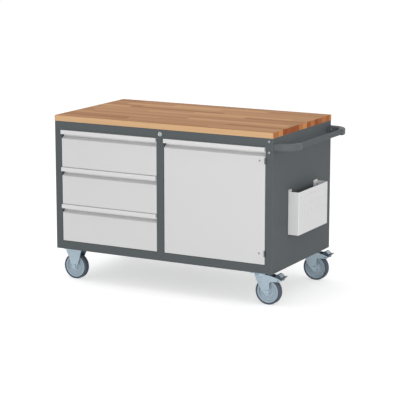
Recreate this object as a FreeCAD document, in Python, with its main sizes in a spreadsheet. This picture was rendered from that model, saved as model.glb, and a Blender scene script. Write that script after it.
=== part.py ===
"""Mobile workbench: steel housing on casters, beech worktop, three drawers and a cupboard.

Millimetres, +X to the right along the bench, +Y to the back, +Z up. The origin lies on the
floor, under the middle of the box that the bench and its push handle fill. Most pieces are drawn
from the housing's own corner: its left end, its front face and its underside.
"""

import FreeCAD
import Part
import math
import operator
import os
import types

import Sketcher

# Driving dimensions, one cell of the sheet each.
SIZES = {
    # housing
    "length": 1160,
    "depth": 640,
    "body_height": 624,
    "sheet": 1.5,
    "bend": 2,
    "post": 36,
    "post_return": 40,
    "rear_fold": 30,
    "divider": 37,
    "bottom_rail": 40,
    "top_rail": 40,
    "rail_flange": 30,
    "caster_seat": 130,
    "upright_front": 95,
    "upright_rear": 500,
    "upright_face": 30,
    # worktop
    "worktop_thickness": 27,
    "worktop_edge": 1,
    # fronts of the drawers and of the door
    "gap": 2,
    "front_sheet": 1.2,
    "front_depth": 24,
    "front_return": 14,
    "grip_reach": 9,
    "grip_lip": 19,
    "grip_height": 44,
    "grip_back": 30,
    "grip_wall": 1.5,
    "grip_flange": 12,
    # drawers
    "tray_sheet": 1,
    "tray_length": 560,
    "tray_height": 120,
    "tray_lift": 20,
    "tray_rim": 5,
    "runner_height": 45,
    "runner_width": 13,
    "runner_sheet": 1.2,
    "runner_length": 560,
    "runner_start": 26,
    "runner_rise": 45,
    "runner_lap": 2,
    "running_gap": 0.3,
    # cupboard
    "shelf_sheet": 1.2,
    "shelf_edge": 25,
    "shelf_height": 270,
    "shelf_depth": 520,
    "shelf_gap": 1,
    "clip_size": 12,
    "clip_inset": 60,
    "catch_width": 13,
    "catch_depth": 18,
    "catch_height": 44,
    "catch_drop": 70,
    # hinges
    "hinge_height": 27,
    "hinge_radius": 4,
    "hinge_proud": 2,
    "hinge_pin": 2,
    "hinge_leaf": 1.5,
    "hinge_reach": 34,
    "hinge_top": 62,
    "hinge_bottom": 51,
    "hinge_notch": 0.7,
    "rivet_inset": 29,
    "rivet_radius": 2.5,
    "rivet_head": 3.5,
    "rivet_proud": 1.2,
    "pin_clearance": 0.05,
    # lock
    "lock_drop": 22,
    "lock_barrel_radius": 8.5,
    "lock_flange_radius": 10,
    "lock_flange": 2,
    "lock_barrel_length": 24,
    "rotor_radius": 6,
    "rotor_length": 29,
    "key_slot_width": 1.6,
    "key_slot_length": 8,
    "cam_throw": 8,
    "cam_thickness": 2.5,
    "cam_pin": 2,
    "bar_width": 24,
    "bar_thickness": 2,
    "bar_clearance": 1.8,
    "tab_height": 8,
    "tab_reach": 7,
    "tab_level": 108,
    "catch_tab": 10,
    "catch_leg": 18,
    "weld_gap": 0.1,
    # push handle
    "handle_diameter": 25,
    "handle_wall": 2,
    "handle_reach": 87,
    "handle_drop": 40,
    "handle_inset": 20,
    "handle_clearance": 0.1,
    "elbow_height": 34,
    "elbow_width": 31,
    "elbow_round": 6,
    "elbow_bend": 32,
    "elbow_arm": 45,
    "elbow_bore": 28,
    "socket_height": 70,
    # side box
    "box_width": 323,
    "box_height": 201,
    "box_depth": 54,
    "box_start": 164,
    "box_lift": 155,
    "box_sheet": 1.2,
    "box_flange_near": 34,
    "box_flange_far": 44,
    "box_flange_rise": 7,
    "slot_width": 2.5,
    "slot_height": 9,
    "slot_pitch": 38,
    "slot_drop": 27,
    "slot_columns": 8,
    "slot_rows": 3,
    # screws
    "screw_radius": 3,
    "screw_head": 6,
    "screw_head_height": 3,
    "screw_length": 16,
    "screw_spacing": 50,
    "screw_inset": 20,
    "worktop_screw_inset": 15,
    # casters
    "caster_height": 155,
    "wheel_diameter": 125,
    "tyre_width": 32,
    "tyre_depth": 9,
    "tyre_round": 6,
    "hub_width": 40,
    "hub_radius": 15,
    "web_thickness": 7,
    "rim_step": 3,
    "axle_radius": 6,
    "axle_head": 10,
    "axle_head_height": 5,
    "fixed_inset": 77,
    "swivel_inset": 80,
    "side_inset": 57,
    "trail": 38,
    "plate_length": 85,
    "plate_width": 100,
    "plate_thickness": 3,
    "bolt_spacing_along": 60,
    "bolt_spacing_across": 80,
    "bolt_radius": 4,
    "bolt_head": 7.2,
    "bolt_head_height": 5,
    "bolt_clearance": 0.25,
    "fork_sheet": 2.5,
    "fork_clearance": 0.5,
    "fork_boss": 15,
    "race_height": 11,
    "race_radius": 29,
    "fork_head": 32,
    "fork_nose": 30,
    "fork_nose_half": 15.5,
    "fork_flat": 12,
    "fork_bend": 5,
    "fork_waist": 39,
    "fork_neck": 49,
    "fork_wing": 5,
    "wing_rise": 52,
    "wing_depth": 10,
    "kingpin_radius": 6,
    "kingpin_head": 9,
    "pedal_pin": 3,
    "pedal_sheet": 2,
    "pedal_reach": 30,
    "pedal_back": 22,
    "pedal_height": 29,
    "pedal_nose": 15,
}

DOC = FreeCAD.newDocument("Workbench")
SHEET = DOC.addObject("Spreadsheet::Sheet", "Sizes")
for row, (word, number) in enumerate(SIZES.items(), start=1):
    SHEET.set(f"A{row}", word)
    SHEET.set(f"B{row}", str(number))
    SHEET.setAlias(f"B{row}", word)
DOC.recompute()


class Size:
    """A number together with the sheet formula that gives it."""

    def __init__(self, number, formula=None):
        self.number = float(number)
        self.formula = formula or repr(float(number))
        self.driven = formula is not None

    def __add__(self, other):
        return joined(self, "+", other)

    def __radd__(self, other):
        return joined(other, "+", self)

    def __sub__(self, other):
        return joined(self, "-", other)

    def __rsub__(self, other):
        return joined(other, "-", self)

    def __mul__(self, other):
        return joined(self, "*", other)

    def __rmul__(self, other):
        return joined(other, "*", self)

    def __truediv__(self, other):
        return joined(self, "/", other)

    def __neg__(self):
        return joined(-1, "*", self)


OPERATIONS = {"+": operator.add, "-": operator.sub, "*": operator.mul, "/": operator.truediv}


def as_size(value):
    """Return a plain number as a Size, and a Size as it is."""
    return value if isinstance(value, Size) else Size(value)


def joined(left, sign, right):
    """Join two sizes with an arithmetic sign, in their numbers and in their formulas."""
    left, right = as_size(left), as_size(right)
    result = Size(OPERATIONS[sign](left.number, right.number))
    result.formula = f"({left.formula} {sign} {right.formula})"
    result.driven = left.driven or right.driven
    return result


S = types.SimpleNamespace(**{word: Size(number, f"Sizes.{word}") for word, number in SIZES.items()})


def drive(thing, prop, size):
    """Set a property to a size, bound to the sheet where the size comes from it."""
    size = as_size(size)
    if size.driven:
        thing.setExpression(prop, size.formula)
    elif "." not in prop:
        setattr(thing, prop, size.number)
    elif size.number:
        thing.setExpression(prop, size.formula)


# ---------------------------------------------------------------- outlines for sketches


def pin_point(sketch, geometry, end, u, v):
    """Hold one point of a sketch at (u, v)."""
    for kind, size in (("DistanceX", as_size(u)), ("DistanceY", as_size(v))):
        constraint = Sketcher.Constraint(kind, -1, 1, geometry, end, size.number)
        index = sketch.addConstraint(constraint)
        if size.driven:
            sketch.setExpression(f"Constraints[{index}]", size.formula)


def pin_radius(sketch, geometry, radius):
    """Hold the radius of an arc or circle."""
    radius = as_size(radius)
    index = sketch.addConstraint(Sketcher.Constraint("Radius", geometry, radius.number))
    if radius.driven:
        sketch.setExpression(f"Constraints[{index}]", radius.formula)


def vector(u, v):
    """Point of a sketch as a FreeCAD vector."""
    return FreeCAD.Vector(as_size(u).number, as_size(v).number, 0)


class Circle:
    """A circle of a sketch."""

    def __init__(self, u, v, radius):
        self.u, self.v, self.radius = u, v, radius

    def draw(self, sketch):
        circle = Part.Circle(vector(self.u, self.v), FreeCAD.Vector(0, 0, 1), self.radius.number)
        geometry = sketch.addGeometry(circle, False)
        pin_point(sketch, geometry, 3, self.u, self.v)
        pin_radius(sketch, geometry, self.radius)


def heading(start, end):
    """Signs of the step from one corner to the next."""
    steps = [as_size(end[k]).number - as_size(start[k]).number for k in (0, 1)]
    return [0 if abs(step) < 1e-9 else math.copysign(1, step) for step in steps]


def moved(corner, direction, distance):
    """Corner shifted along a square heading."""
    u = corner[0] + direction[0] * distance if direction[0] else corner[0]
    v = corner[1] + direction[1] * distance if direction[1] else corner[1]
    return (u, v)


class Outline:
    """Straight edges from corner to corner.

    A corner is (u, v), or (u, v, radius) to round a square corner. A corner given as
    (u, v, "via") isn't a corner: the edge passes through it as an arc.
    """

    def __init__(self, corners, closed=True):
        self.corners = [tuple(corner) + (0,) * (3 - len(corner)) for corner in corners]
        self.closed = closed

    def stations(self):
        """Corners that edges meet in, each with the arc point of the edge that leaves it."""
        stations = []
        for corner in self.corners:
            if corner[2] == "via":
                stations[-1][1] = corner
            else:
                stations.append([corner, None])
        return stations

    def draw(self, sketch):
        stations = self.stations()
        count = len(stations)
        edges = count if self.closed else count - 1
        starts, ends = [None] * count, [None] * count
        for k in range(edges):
            (start, via), (end, _) = stations[k], stations[(k + 1) % count]
            if via:
                starts[k], ends[(k + 1) % count] = self.bow(sketch, start, via, end)
                continue
            ahead = heading(start, end)
            leave = moved(start, ahead, start[2]) if start[2] else start
            arrive = moved(end, ahead, -as_size(end[2])) if end[2] else end
            line = sketch.addGeometry(Part.LineSegment(vector(*leave[:2]), vector(*arrive[:2])), False)
            starts[k], ends[(k + 1) % count] = (line, 1), (line, 2)
        for k, (corner, _) in enumerate(stations):
            before, after = ends[k], starts[k]
            if corner[2]:
                back = heading(stations[k - 1][0], corner)
                ahead = heading(corner, stations[(k + 1) % count][0])
                self.round_corner(sketch, corner, back, ahead, before, after)
                continue
            if before and after:
                sketch.addConstraint(Sketcher.Constraint("Coincident", *before, *after))
            pin_point(sketch, *(after or before), *corner[:2])

    @staticmethod
    def round_corner(sketch, corner, back, ahead, before, after):
        """Join two square edges with a quarter arc."""
        radius = as_size(corner[2])
        entry = moved(corner, back, -radius)
        leave = moved(corner, ahead, radius)
        centre = vector(*moved(entry, ahead, radius))
        left_turn = back[0] * ahead[1] - back[1] * ahead[0] > 0
        first, last = (entry, leave) if left_turn else (leave, entry)
        spoke = vector(*first) - centre
        angle = math.atan2(spoke.y, spoke.x)
        circle = Part.Circle(centre, FreeCAD.Vector(0, 0, 1), radius.number)
        arc = sketch.addGeometry(Part.ArcOfCircle(circle, angle, angle + math.pi / 2), False)
        for end, point, edge in ((1, first, None), (2, last, None)):
            edge = before if point is entry else after
            sketch.addConstraint(Sketcher.Constraint("Coincident", arc, end, *edge))
            pin_point(sketch, arc, end, *point)
        pin_radius(sketch, arc, radius)

    @staticmethod
    def bow(sketch, start, via, end):
        """Draw an arc through a point and return its ends as (geometry, end) pairs."""
        arc = Part.Arc(vector(*start[:2]), vector(*via[:2]), vector(*end[:2]))
        index = sketch.addGeometry(arc, False)
        point = sketch.addGeometry(Part.Point(vector(*via[:2])), True)
        sketch.addConstraint(Sketcher.Constraint("PointOnObject", point, 1, index))
        pin_point(sketch, point, 1, *via[:2])
        forward = sketch.Geometry[index].StartPoint.distanceToPoint(vector(*start[:2])) < 1e-6
        return ((index, 1), (index, 2)) if forward else ((index, 2), (index, 1))


def rectangle(u0, v0, u1, v1, radius=0):
    """Corners of a rectangle."""
    return [(u0, v0, radius), (u1, v0, radius), (u1, v1, radius), (u0, v1, radius)]


def hexagon(u, v, radius):
    """Corners of a regular hexagon."""
    angles = [math.radians(60 * k) for k in range(6)]
    return [(u + radius * round(math.cos(a), 6), v + radius * round(math.sin(a), 6)) for a in angles]


def flip(corners, sign):
    """Mirror corners across the v axis where the sign is negative."""
    if sign > 0:
        return corners
    return [(-as_size(corner[0]),) + tuple(corner[1:]) for corner in corners]


def folded(path, wall):
    """Closed section of a sheet folded along a square path, with the sheet on the path's right.

    Each point of the path is (u, v, bend radius inside the fold).
    """
    headings = [heading(a, b) for a, b in zip(path, path[1:])]
    near, far = [], []
    for k, (u, v, bend) in enumerate(path):
        before, after = headings[max(k - 1, 0)], headings[min(k, len(headings) - 1)]
        turn = before[0] * after[1] - before[1] * after[0]
        normals = [(before[1], -before[0])] if turn == 0 else [(before[1], -before[0]), (after[1], -after[0])]
        offset = (u, v)
        for normal in normals:
            offset = moved(offset, normal, wall)
        wide = bend + wall if bend else 0
        near.append((u, v, wide if turn < 0 else bend))
        far.append((*offset, bend if turn < 0 else wide))
    for chain in (near, far):
        chain[0], chain[-1] = chain[0][:2] + (0,), chain[-1][:2] + (0,)
    return near + far[::-1]


# ---------------------------------------------------------------- places on the bench

LEFT = -(S.length + S.handle_reach + S.elbow_width / 2) / 2
FRONT = (S.grip_reach - S.depth - S.screw_head_height) / 2
FLOOR = 0
BOTTOM = S.caster_height

REAR = S.depth - 2 * S.sheet
OPENING_TOP = S.body_height - S.top_rail
BAY_WIDTH = (S.length - 2 * S.post - S.divider) / 2
DRAWER_BAY = S.post
DRAWER_BAY_END = S.post + BAY_WIDTH
DOOR_BAY = DRAWER_BAY_END + S.divider
DOOR_BAY_END = S.length - S.post
DIVIDER_CENTRE = DRAWER_BAY_END + S.divider / 2
FRONT_WIDTH = BAY_WIDTH - 2 * S.gap
DRAWER_PITCH = (OPENING_TOP - S.bottom_rail - S.gap) / 3
FRONT_HEIGHT = DRAWER_PITCH - S.gap
DOOR_BOTTOM = S.bottom_rail + S.gap
DOOR_HEIGHT = OPENING_TOP - S.gap - DOOR_BOTTOM
LOCK_HEIGHT = S.body_height - S.lock_drop
HANDLE_HEIGHT = S.body_height - S.handle_drop
HUB_HEIGHT = S.wheel_diameter / 2
FORK_INSIDE = S.hub_width / 2 + S.fork_clearance
FORK_HALF = FORK_INSIDE + S.fork_sheet
FORK_TOP = S.caster_height - S.plate_thickness - S.race_height - S.running_gap
PLATE_UNDERSIDE = S.caster_height - S.plate_thickness
CASTER_ROWS = (S.side_inset, S.depth - S.side_inset)
SWIVEL_X = S.length - S.swivel_inset
RUNNER_LEVEL = S.tray_lift + S.runner_rise
BAR_FRONT = S.rotor_length + S.cam_thickness + S.bar_clearance
HINGE_X = DOOR_BAY_END - S.gap / 2
DRAWERS = (1, 2, 3)


def drawer_bottom(number):
    """Height of a drawer front's lower edge above the housing's underside; drawer 1 is on top."""
    return OPENING_TOP - number * DRAWER_PITCH


# ---------------------------------------------------------------- sub-parts as bodies

PIECES = []
CUTS = []


class Piece:
    """A sub-part: one PartDesign body, drawn from the housing's corner unless placed."""

    def __init__(self, name, x=0, y=0, z=0, base=None):
        self.body = DOC.addObject("PartDesign::Body", name)
        self.body.Label = name
        base = BOTTOM if base is None else base
        for axis, place in (("x", LEFT + x), ("y", FRONT + y), ("z", base + z)):
            drive(self.body, f"Placement.Base.{axis}", place)
        PIECES.append(self.body)

    def sketch(self, plane, level, outlines):
        """Sketch outlines on an origin plane shifted to a level along its axis."""
        sketch = self.body.newObject("Sketcher::SketchObject", f"{self.body.Name}_{plane}")
        planes = self.body.Origin.OriginFeatures
        support = next(feature for feature in planes if feature.Role == f"{plane}_Plane")
        sketch.AttachmentSupport = [(support, "")]
        sketch.MapMode = "FlatFace"
        drive(sketch, "AttachmentOffset.Base.z", -as_size(level) if plane == "XZ" else level)
        for outline in outlines:
            shape = outline if hasattr(outline, "draw") else Outline(outline)
            shape.draw(sketch)
        return sketch

    def feature(self, kind, sketch):
        """Add a feature that works on a sketch."""
        feature = self.body.newObject(f"PartDesign::{kind}", f"{self.body.Name}_{kind}")
        feature.Profile = sketch
        sketch.Visibility = False
        return feature

    def pad(self, plane, level, thickness, *outlines):
        """Add material from a level on, along the plane's axis."""
        pad = self.feature("Pad", self.sketch(plane, level, outlines))
        pad.Reversed = plane == "XZ"
        drive(pad, "Length", thickness)
        return pad

    def cut(self, plane, level, thickness, *outlines):
        """Remove material from a level on, along the plane's axis."""
        pocket = self.feature("Pocket", self.sketch(plane, level, outlines))
        pocket.Reversed = plane != "XZ"
        drive(pocket, "Length", thickness)
        CUTS.append(pocket)
        return pocket

    def spin(self, *outlines, plane="XY"):
        """Revolve outlines about the sketch's upright axis."""
        sketch = self.sketch(plane, 0, outlines)
        revolution = self.feature("Revolution", sketch)
        revolution.ReferenceAxis = (sketch, ["V_Axis"])
        revolution.Angle = 360
        return revolution

    def sweep(self, path_plane, path_level, path, section_plane, section_level, *section):
        """Sweep a section along a path."""
        spine = self.sketch(path_plane, path_level, [path])
        pipe = self.feature("AdditivePipe", self.sketch(section_plane, section_level, section))
        pipe.Spine = (spine, [f"Edge{k + 1}" for k in range(len(path.corners) * 2 - 3)])
        return pipe

    def repeat(self, originals, *steps):
        """Copy features in a grid; each step is (axis of the base sketch, distance, copies)."""
        patterns = []
        sketch = originals[0].Profile[0]
        for axis, distance, copies in steps:
            pattern = DOC.addObject("PartDesign::LinearPattern", f"{self.body.Name}_row")
            pattern.Direction = (sketch, [axis])
            drive(pattern, "Length", distance * (copies - 1))
            pattern.Occurrences = copies
            patterns.append(pattern)
        grid = DOC.addObject("PartDesign::MultiTransform", f"{self.body.Name}_grid")
        grid.Originals = originals
        self.body.addObject(grid)
        grid.Transformations = patterns
        self.body.Tip = grid
        return grid


# ---------------------------------------------------------------- housing


def screw_heights():
    """Heights of the two screws in each corner post that hold the handle's socket."""
    return (HANDLE_HEIGHT - S.screw_spacing / 2, HANDLE_HEIGHT + S.screw_spacing / 2)


def hinge_heights():
    """Heights of the two hinges' middles."""
    return (DOOR_BOTTOM + S.hinge_bottom, DOOR_BOTTOM + DOOR_HEIGHT - S.hinge_top)


def box_screw_places():
    """Places (y, z) of the side box's screws on the right panel."""
    near = S.box_start + S.box_flange_near / 2 + S.box_sheet
    far = S.box_start + S.box_width - S.box_flange_far / 2
    low = S.box_lift + S.box_height / 5
    high = S.box_lift + S.box_height * 4 / 5
    return [(y, z) for y in (near, far) for z in (low, high)]


def side_panel(name, wall, inward):
    """Side panel: folded front post, wall, rear fold and top flange."""
    piece = Piece(name, x=wall)
    path = [
        (S.post, S.post_return, 0),
        (S.post, 0, 0),
        (0, 0, S.bend),
        (0, S.depth, S.bend),
        (S.rear_fold, S.depth, 0),
    ]
    piece.pad("XY", 0, S.body_height, flip(folded(path, S.sheet), inward))
    flange = rectangle(0, S.bend + S.sheet, S.rail_flange, REAR)
    piece.pad("XY", S.body_height - S.sheet, S.sheet, flip(flange, inward))
    return piece


def right_side_panel():
    """Right side panel, with the holes for the handle, its screws, the box and the hinges."""
    piece = side_panel("side_panel_right", S.length, -1)
    wide = S.elbow_width / 2 + S.handle_clearance
    low, high = (HANDLE_HEIGHT + sign * (S.elbow_height / 2 + S.handle_clearance) for sign in (-1, 1))
    legs = [
        rectangle(y - wide, low, y + wide, high, S.elbow_round)
        for y in (S.handle_inset, S.depth - S.handle_inset)
    ]
    piece.cut("YZ", -2 * S.sheet, 3 * S.sheet, *legs)
    holes = [Circle(y, z, S.screw_radius + S.pin_clearance) for y, z in box_screw_places()]
    piece.cut("YZ", -2 * S.sheet, 3 * S.sheet, *holes)
    for face in (0, S.depth - S.sheet):
        screws = [Circle(-S.screw_inset, z, S.screw_radius + S.pin_clearance) for z in screw_heights()]
        piece.cut("XZ", face - S.sheet, 3 * S.sheet, *screws)
    reach = S.hinge_radius + S.hinge_notch
    edge = -S.post - S.gap / 2
    half = S.hinge_height / 2 + 1
    notches = [rectangle(edge, z - half, edge + reach, z + half) for z in hinge_heights()]
    piece.cut("XZ", -S.sheet, reach - S.hinge_proud + S.sheet, *notches)


def back_panel():
    """Back panel inside the side panels' rear folds, with a flange under the worktop."""
    piece = Piece("back_panel")
    edge = S.sheet + S.bend
    piece.pad("XZ", REAR, S.sheet, rectangle(edge, 0, S.length - edge, S.body_height))
    flange = rectangle(S.rail_flange, REAR - S.rail_flange, S.length - S.rail_flange, REAR + S.sheet)
    piece.pad("XY", S.body_height - S.sheet, S.sheet, flange)
    x = S.length - S.screw_inset
    holes = [Circle(x, z, S.screw_radius + S.pin_clearance) for z in screw_heights()]
    piece.cut("XZ", REAR - S.sheet, 3 * S.sheet, *holes)
    rear = REAR - S.worktop_screw_inset
    piece.cut("XY", S.body_height - 2 * S.sheet, 3 * S.sheet, *worktop_screws(rear))


def pan_outline(inset):
    """Outline of the bottom pan between the corner posts, drawn in by an inset."""
    front_left, front_right = S.post + inset, S.length - S.post - inset
    left, right = S.sheet + inset, S.length - S.sheet - inset
    shoulder, rear = S.post_return + inset, S.depth - S.sheet - S.bend - inset
    return [
        (front_left, as_size(inset)),
        (front_right, as_size(inset)),
        (front_right, shoulder),
        (right, shoulder),
        (right, rear),
        (left, rear),
        (left, shoulder),
        (front_left, shoulder),
    ]


def base_pan():
    """Bottom pan: floor, skirts and the flanges that the casters are bolted to."""
    piece = Piece("base_pan")
    piece.pad("XY", 0, S.bottom_rail, pan_outline(0))
    piece.cut("XY", 0, S.bottom_rail - S.sheet, pan_outline(S.sheet))
    rear = S.depth - S.sheet - S.bend - S.rail_flange
    opening = rectangle(S.caster_seat, S.rail_flange, S.length - S.caster_seat, rear)
    piece.pad("XY", 0, S.sheet, pan_outline(0), opening)
    holes = [Circle(x, y, S.bolt_radius + S.bolt_clearance) for x, y in bolt_places()]
    piece.cut("XY", 0, 2 * S.sheet, *holes)


def worktop_screws(y):
    """Circles for a row of worktop screws at a depth."""
    xs = (S.length / 10, S.length * 3 / 10, S.length * 7 / 10, S.length * 9 / 10)
    return [Circle(x, y, S.screw_radius + S.pin_clearance) for x in xs]


def top_front_rail():
    """Channel between the posts under the worktop's front edge, bored for the lock."""
    piece = Piece("top_front_rail")
    low, high = OPENING_TOP, S.body_height
    path = [(S.rail_flange, low, 0), (0, low, 0), (0, high, 0), (S.rail_flange, high, 0)]
    piece.pad("YZ", S.post, S.length - 2 * S.post, folded(path, S.sheet))
    bore = Circle(DIVIDER_CENTRE, LOCK_HEIGHT, S.lock_barrel_radius + S.pin_clearance)
    piece.cut("XZ", -S.sheet, 3 * S.sheet, bore)
    piece.cut("XY", high - 2 * S.sheet, 3 * S.sheet, *worktop_screws(S.worktop_screw_inset))


def bar_tabs():
    """Lower edges of the locking bar's tabs at rest, above the housing's underside."""
    return [drawer_bottom(number) + S.tab_level + 1 for number in DRAWERS]


def centre_partition():
    """Partition: front face and two skins from the bottom pan to the worktop."""
    piece = Piece("centre_partition")
    left, right = DRAWER_BAY_END, DOOR_BAY
    path = [(right, REAR, 0), (right, 0, 0), (left, 0, 0), (left, REAR, 0)]
    piece.pad("XY", S.bottom_rail, OPENING_TOP - S.bottom_rail, folded(path, S.sheet))
    skins = [rectangle(x, S.rail_flange, x + S.sheet, REAR) for x in (left, right - S.sheet)]
    piece.pad("XY", OPENING_TOP, S.top_rail - S.sheet, *skins)
    front = BAR_FRONT - S.running_gap
    back = BAR_FRONT + S.bar_thickness + S.running_gap
    slots = [
        rectangle(front, low - S.cam_throw - 1, back, low + S.tab_height + 1) for low in bar_tabs()
    ]
    piece.cut("YZ", left - S.sheet, 3 * S.sheet, *slots)


def runner_uprights():
    """Two upright profiles that carry the left runners off the side panel."""
    piece = Piece("runner_uprights")
    wall, face = S.sheet, S.post
    profiles = []
    for y in (S.upright_front, S.upright_rear):
        path = [
            (wall, y - S.upright_face, 0),
            (wall, y, S.bend),
            (face - S.sheet, y, S.bend),
            (face - S.sheet, y + S.upright_face, 0),
        ]
        profiles.append(folded(path, S.sheet))
    piece.pad("XY", S.bottom_rail, OPENING_TOP - S.bottom_rail, *profiles)


def worktop():
    """Solid beech top with eased edges."""
    piece = Piece("worktop", z=S.body_height)
    piece.pad("XY", 0, S.worktop_thickness, rectangle(0, 0, S.length, S.depth))
    depth = S.screw_length - S.sheet
    for y in (S.worktop_screw_inset, REAR - S.worktop_screw_inset):
        piece.cut("XY", 0, depth, *worktop_screws(y))
    DOC.recompute()
    solid = piece.body.Tip
    top = S.worktop_thickness.number - 1e-3
    edges = [f"Edge{k}" for k, edge in enumerate(solid.Shape.Edges, start=1) if edge.BoundBox.ZMin > top]
    bevel = piece.body.newObject("PartDesign::Chamfer", "worktop_bevel")
    bevel.Base = (solid, edges)
    drive(bevel, "Size", S.worktop_edge)


# ---------------------------------------------------------------- cupboard


def shelf():
    """Shelf with folded edges."""
    piece = Piece("shelf", z=S.bottom_rail + S.shelf_height)
    x0, x1 = DOOR_BAY + S.shelf_gap, S.length - S.sheet - S.shelf_gap
    y0 = S.post_return + S.shelf_gap
    y1 = y0 + S.shelf_depth
    wall = S.shelf_sheet
    piece.pad("XY", -S.shelf_edge, S.shelf_edge, rectangle(x0, y0, x1, y1))
    hollow = rectangle(x0 + wall, y0 + wall, x1 - wall, y1 - wall)
    piece.cut("XY", -S.shelf_edge, S.shelf_edge - wall, hollow)


def shelf_clips():
    """Four clips that the shelf rests on."""
    piece = Piece("shelf_clips", z=S.bottom_rail + S.shelf_height - S.shelf_edge - S.clip_size)
    y0 = S.post_return + S.shelf_gap + S.clip_inset
    y1 = S.post_return + S.shelf_gap + S.shelf_depth - S.clip_inset
    wall = S.shelf_sheet
    angles = []
    for x, inward in ((DOOR_BAY, 1), (S.length - S.sheet, -1)):
        path = [(0, 0, 0), (0, S.clip_size, S.shelf_sheet), (S.clip_size, S.clip_size, 0)]
        angle = flip(folded(path, wall), inward)
        angles.append([(x + corner[0], *corner[1:]) for corner in angle])
    for y in (y0, y1):
        piece.pad("XZ", y - S.clip_size / 2, S.clip_size, *angles)


def door_catch():
    """Magnet catch on the partition, just behind the closed door."""
    piece = Piece("door_catch", z=OPENING_TOP - S.catch_drop)
    x1 = DOOR_BAY + S.catch_width
    y0 = S.front_depth + S.running_gap
    piece.pad("XY", -S.catch_height / 2, S.catch_height, rectangle(DOOR_BAY, y0, x1, y0 + S.catch_depth))


# ---------------------------------------------------------------- fronts, grips and drawers


def front_panel(name, x, z, height):
    """Folded front panel below its grip strip, open at the back."""
    piece = Piece(name, x=x, z=z)
    half = FRONT_WIDTH / 2
    inner = half - S.front_return
    path = [
        (inner, S.front_depth, 0),
        (half, S.front_depth, S.bend / 2),
        (half, 0, S.bend / 2),
        (-half, 0, S.bend / 2),
        (-half, S.front_depth, S.bend / 2),
        (-inner, S.front_depth, 0),
    ]
    piece.pad("XY", 0, height - S.grip_height, folded(path, S.front_sheet))
    inset = S.bend / 2 + S.front_sheet
    floor = rectangle(-half + inset, S.front_sheet / 2, half - inset, S.front_depth)
    piece.pad("XY", 0, S.front_sheet, floor)
    return piece


def grip_strip(name, x, top, flange_inset):
    """Grip strip along a front's top edge: lip, recess for the fingers and a flange below."""
    piece = Piece(name, x=x, z=top)
    wall, deep, back = S.grip_wall, S.front_depth, S.grip_back
    seat = -S.grip_height
    behind = S.front_sheet + wall
    inside = FRONT_WIDTH / 2 - flange_inset
    section = [
        (-S.grip_reach, 0, S.grip_wall),
        (deep, 0, S.grip_wall / 2),
        (deep, -back - wall),
        (behind, seat),
        (0, seat),
        (0, seat + wall),
        (deep - wall, -back),
        (deep - wall, -wall),
        (wall - S.grip_reach, -wall),
        (wall - S.grip_reach, -S.grip_lip),
        (-S.grip_reach, -S.grip_lip),
    ]
    piece.pad("YZ", -FRONT_WIDTH / 2, FRONT_WIDTH, section)
    flange = rectangle(S.front_sheet, seat - S.grip_flange, behind, seat + wall / 2)
    piece.pad("YZ", -inside, 2 * inside, flange)


def tray(number):
    """Drawer tray: open box with an outward rim, and on its side an angle for the locking bar."""
    piece = Piece(f"drawer_tray_{number}", x=DRAWER_BAY + BAY_WIDTH / 2, z=drawer_bottom(number))
    half = BAY_WIDTH / 2 - S.runner_width
    y0, y1 = S.front_depth, S.front_depth + S.tray_length
    wall, rim = S.tray_sheet, S.tray_rim
    floor, top = S.tray_lift, S.tray_lift + S.tray_height
    piece.pad("XY", floor, S.tray_height, rectangle(-half, y0, half, y1))
    hollow = rectangle(-half + wall, y0 + wall, half - wall, y1 - wall)
    piece.cut("XY", floor + wall, S.tray_height, hollow)
    edge = [
        (-half - rim, y0 + rim),
        (-half + wall, y0 + rim),
        (-half + wall, y1 - wall),
        (half - wall, y1 - wall),
        (half - wall, y0 + rim),
        (half + rim, y0 + rim),
        (half + rim, y1 + rim),
        (-half - rim, y1 + rim),
    ]
    piece.pad("XY", top - wall, wall, edge)
    front, side = BAR_FRONT + S.bar_thickness + S.running_gap, half + S.weld_gap
    path = [
        (half + S.catch_tab, front, 0),
        (side, front, S.bar_thickness),
        (side, front + S.catch_leg, 0),
    ]
    piece.pad("XY", S.tab_level - S.tab_height, S.tab_height, folded(path, S.bar_thickness))


def channel(web, mouth, height):
    """Section of a runner member that opens from its web towards its mouth."""
    half, bend = height / 2, S.runner_sheet / 2
    path = [
        (mouth, RUNNER_LEVEL - half, 0),
        (web, RUNNER_LEVEL - half, bend),
        (web, RUNNER_LEVEL + half, bend),
        (mouth, RUNNER_LEVEL + half, 0),
    ]
    if web.number > mouth.number:
        path.reverse()
    return folded(path, S.runner_sheet)


def runner(name, number, web, mouth, height):
    """One member of a drawer's runners, left and right."""
    piece = Piece(name, x=DRAWER_BAY + BAY_WIDTH / 2, z=drawer_bottom(number))
    left = [(u - BAY_WIDTH / 2, v, bend) for u, v, bend in channel(as_size(web), mouth, height)]
    piece.pad("XZ", S.runner_start, S.runner_length, left, flip(left, -1))


def drawer(number):
    """All pieces of one drawer and its runners."""
    x = DRAWER_BAY + BAY_WIDTH / 2
    front_panel(f"drawer_front_{number}", x, drawer_bottom(number), FRONT_HEIGHT)
    inset = S.front_sheet + S.bend
    grip_strip(f"drawer_grip_{number}", x, drawer_bottom(number) + FRONT_HEIGHT, inset)
    tray(number)
    nest = S.runner_sheet + S.running_gap
    height = S.runner_height
    mouth = S.runner_width - S.runner_lap
    runner(f"runner_cabinet_{number}", number, 0, mouth - nest / 2, height)
    runner(f"runner_middle_{number}", number, nest, mouth, height - 2 * nest)
    runner(f"runner_drawer_{number}", number, S.runner_width, 2 * nest, height - 4 * nest)


# ---------------------------------------------------------------- door and hinges


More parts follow.
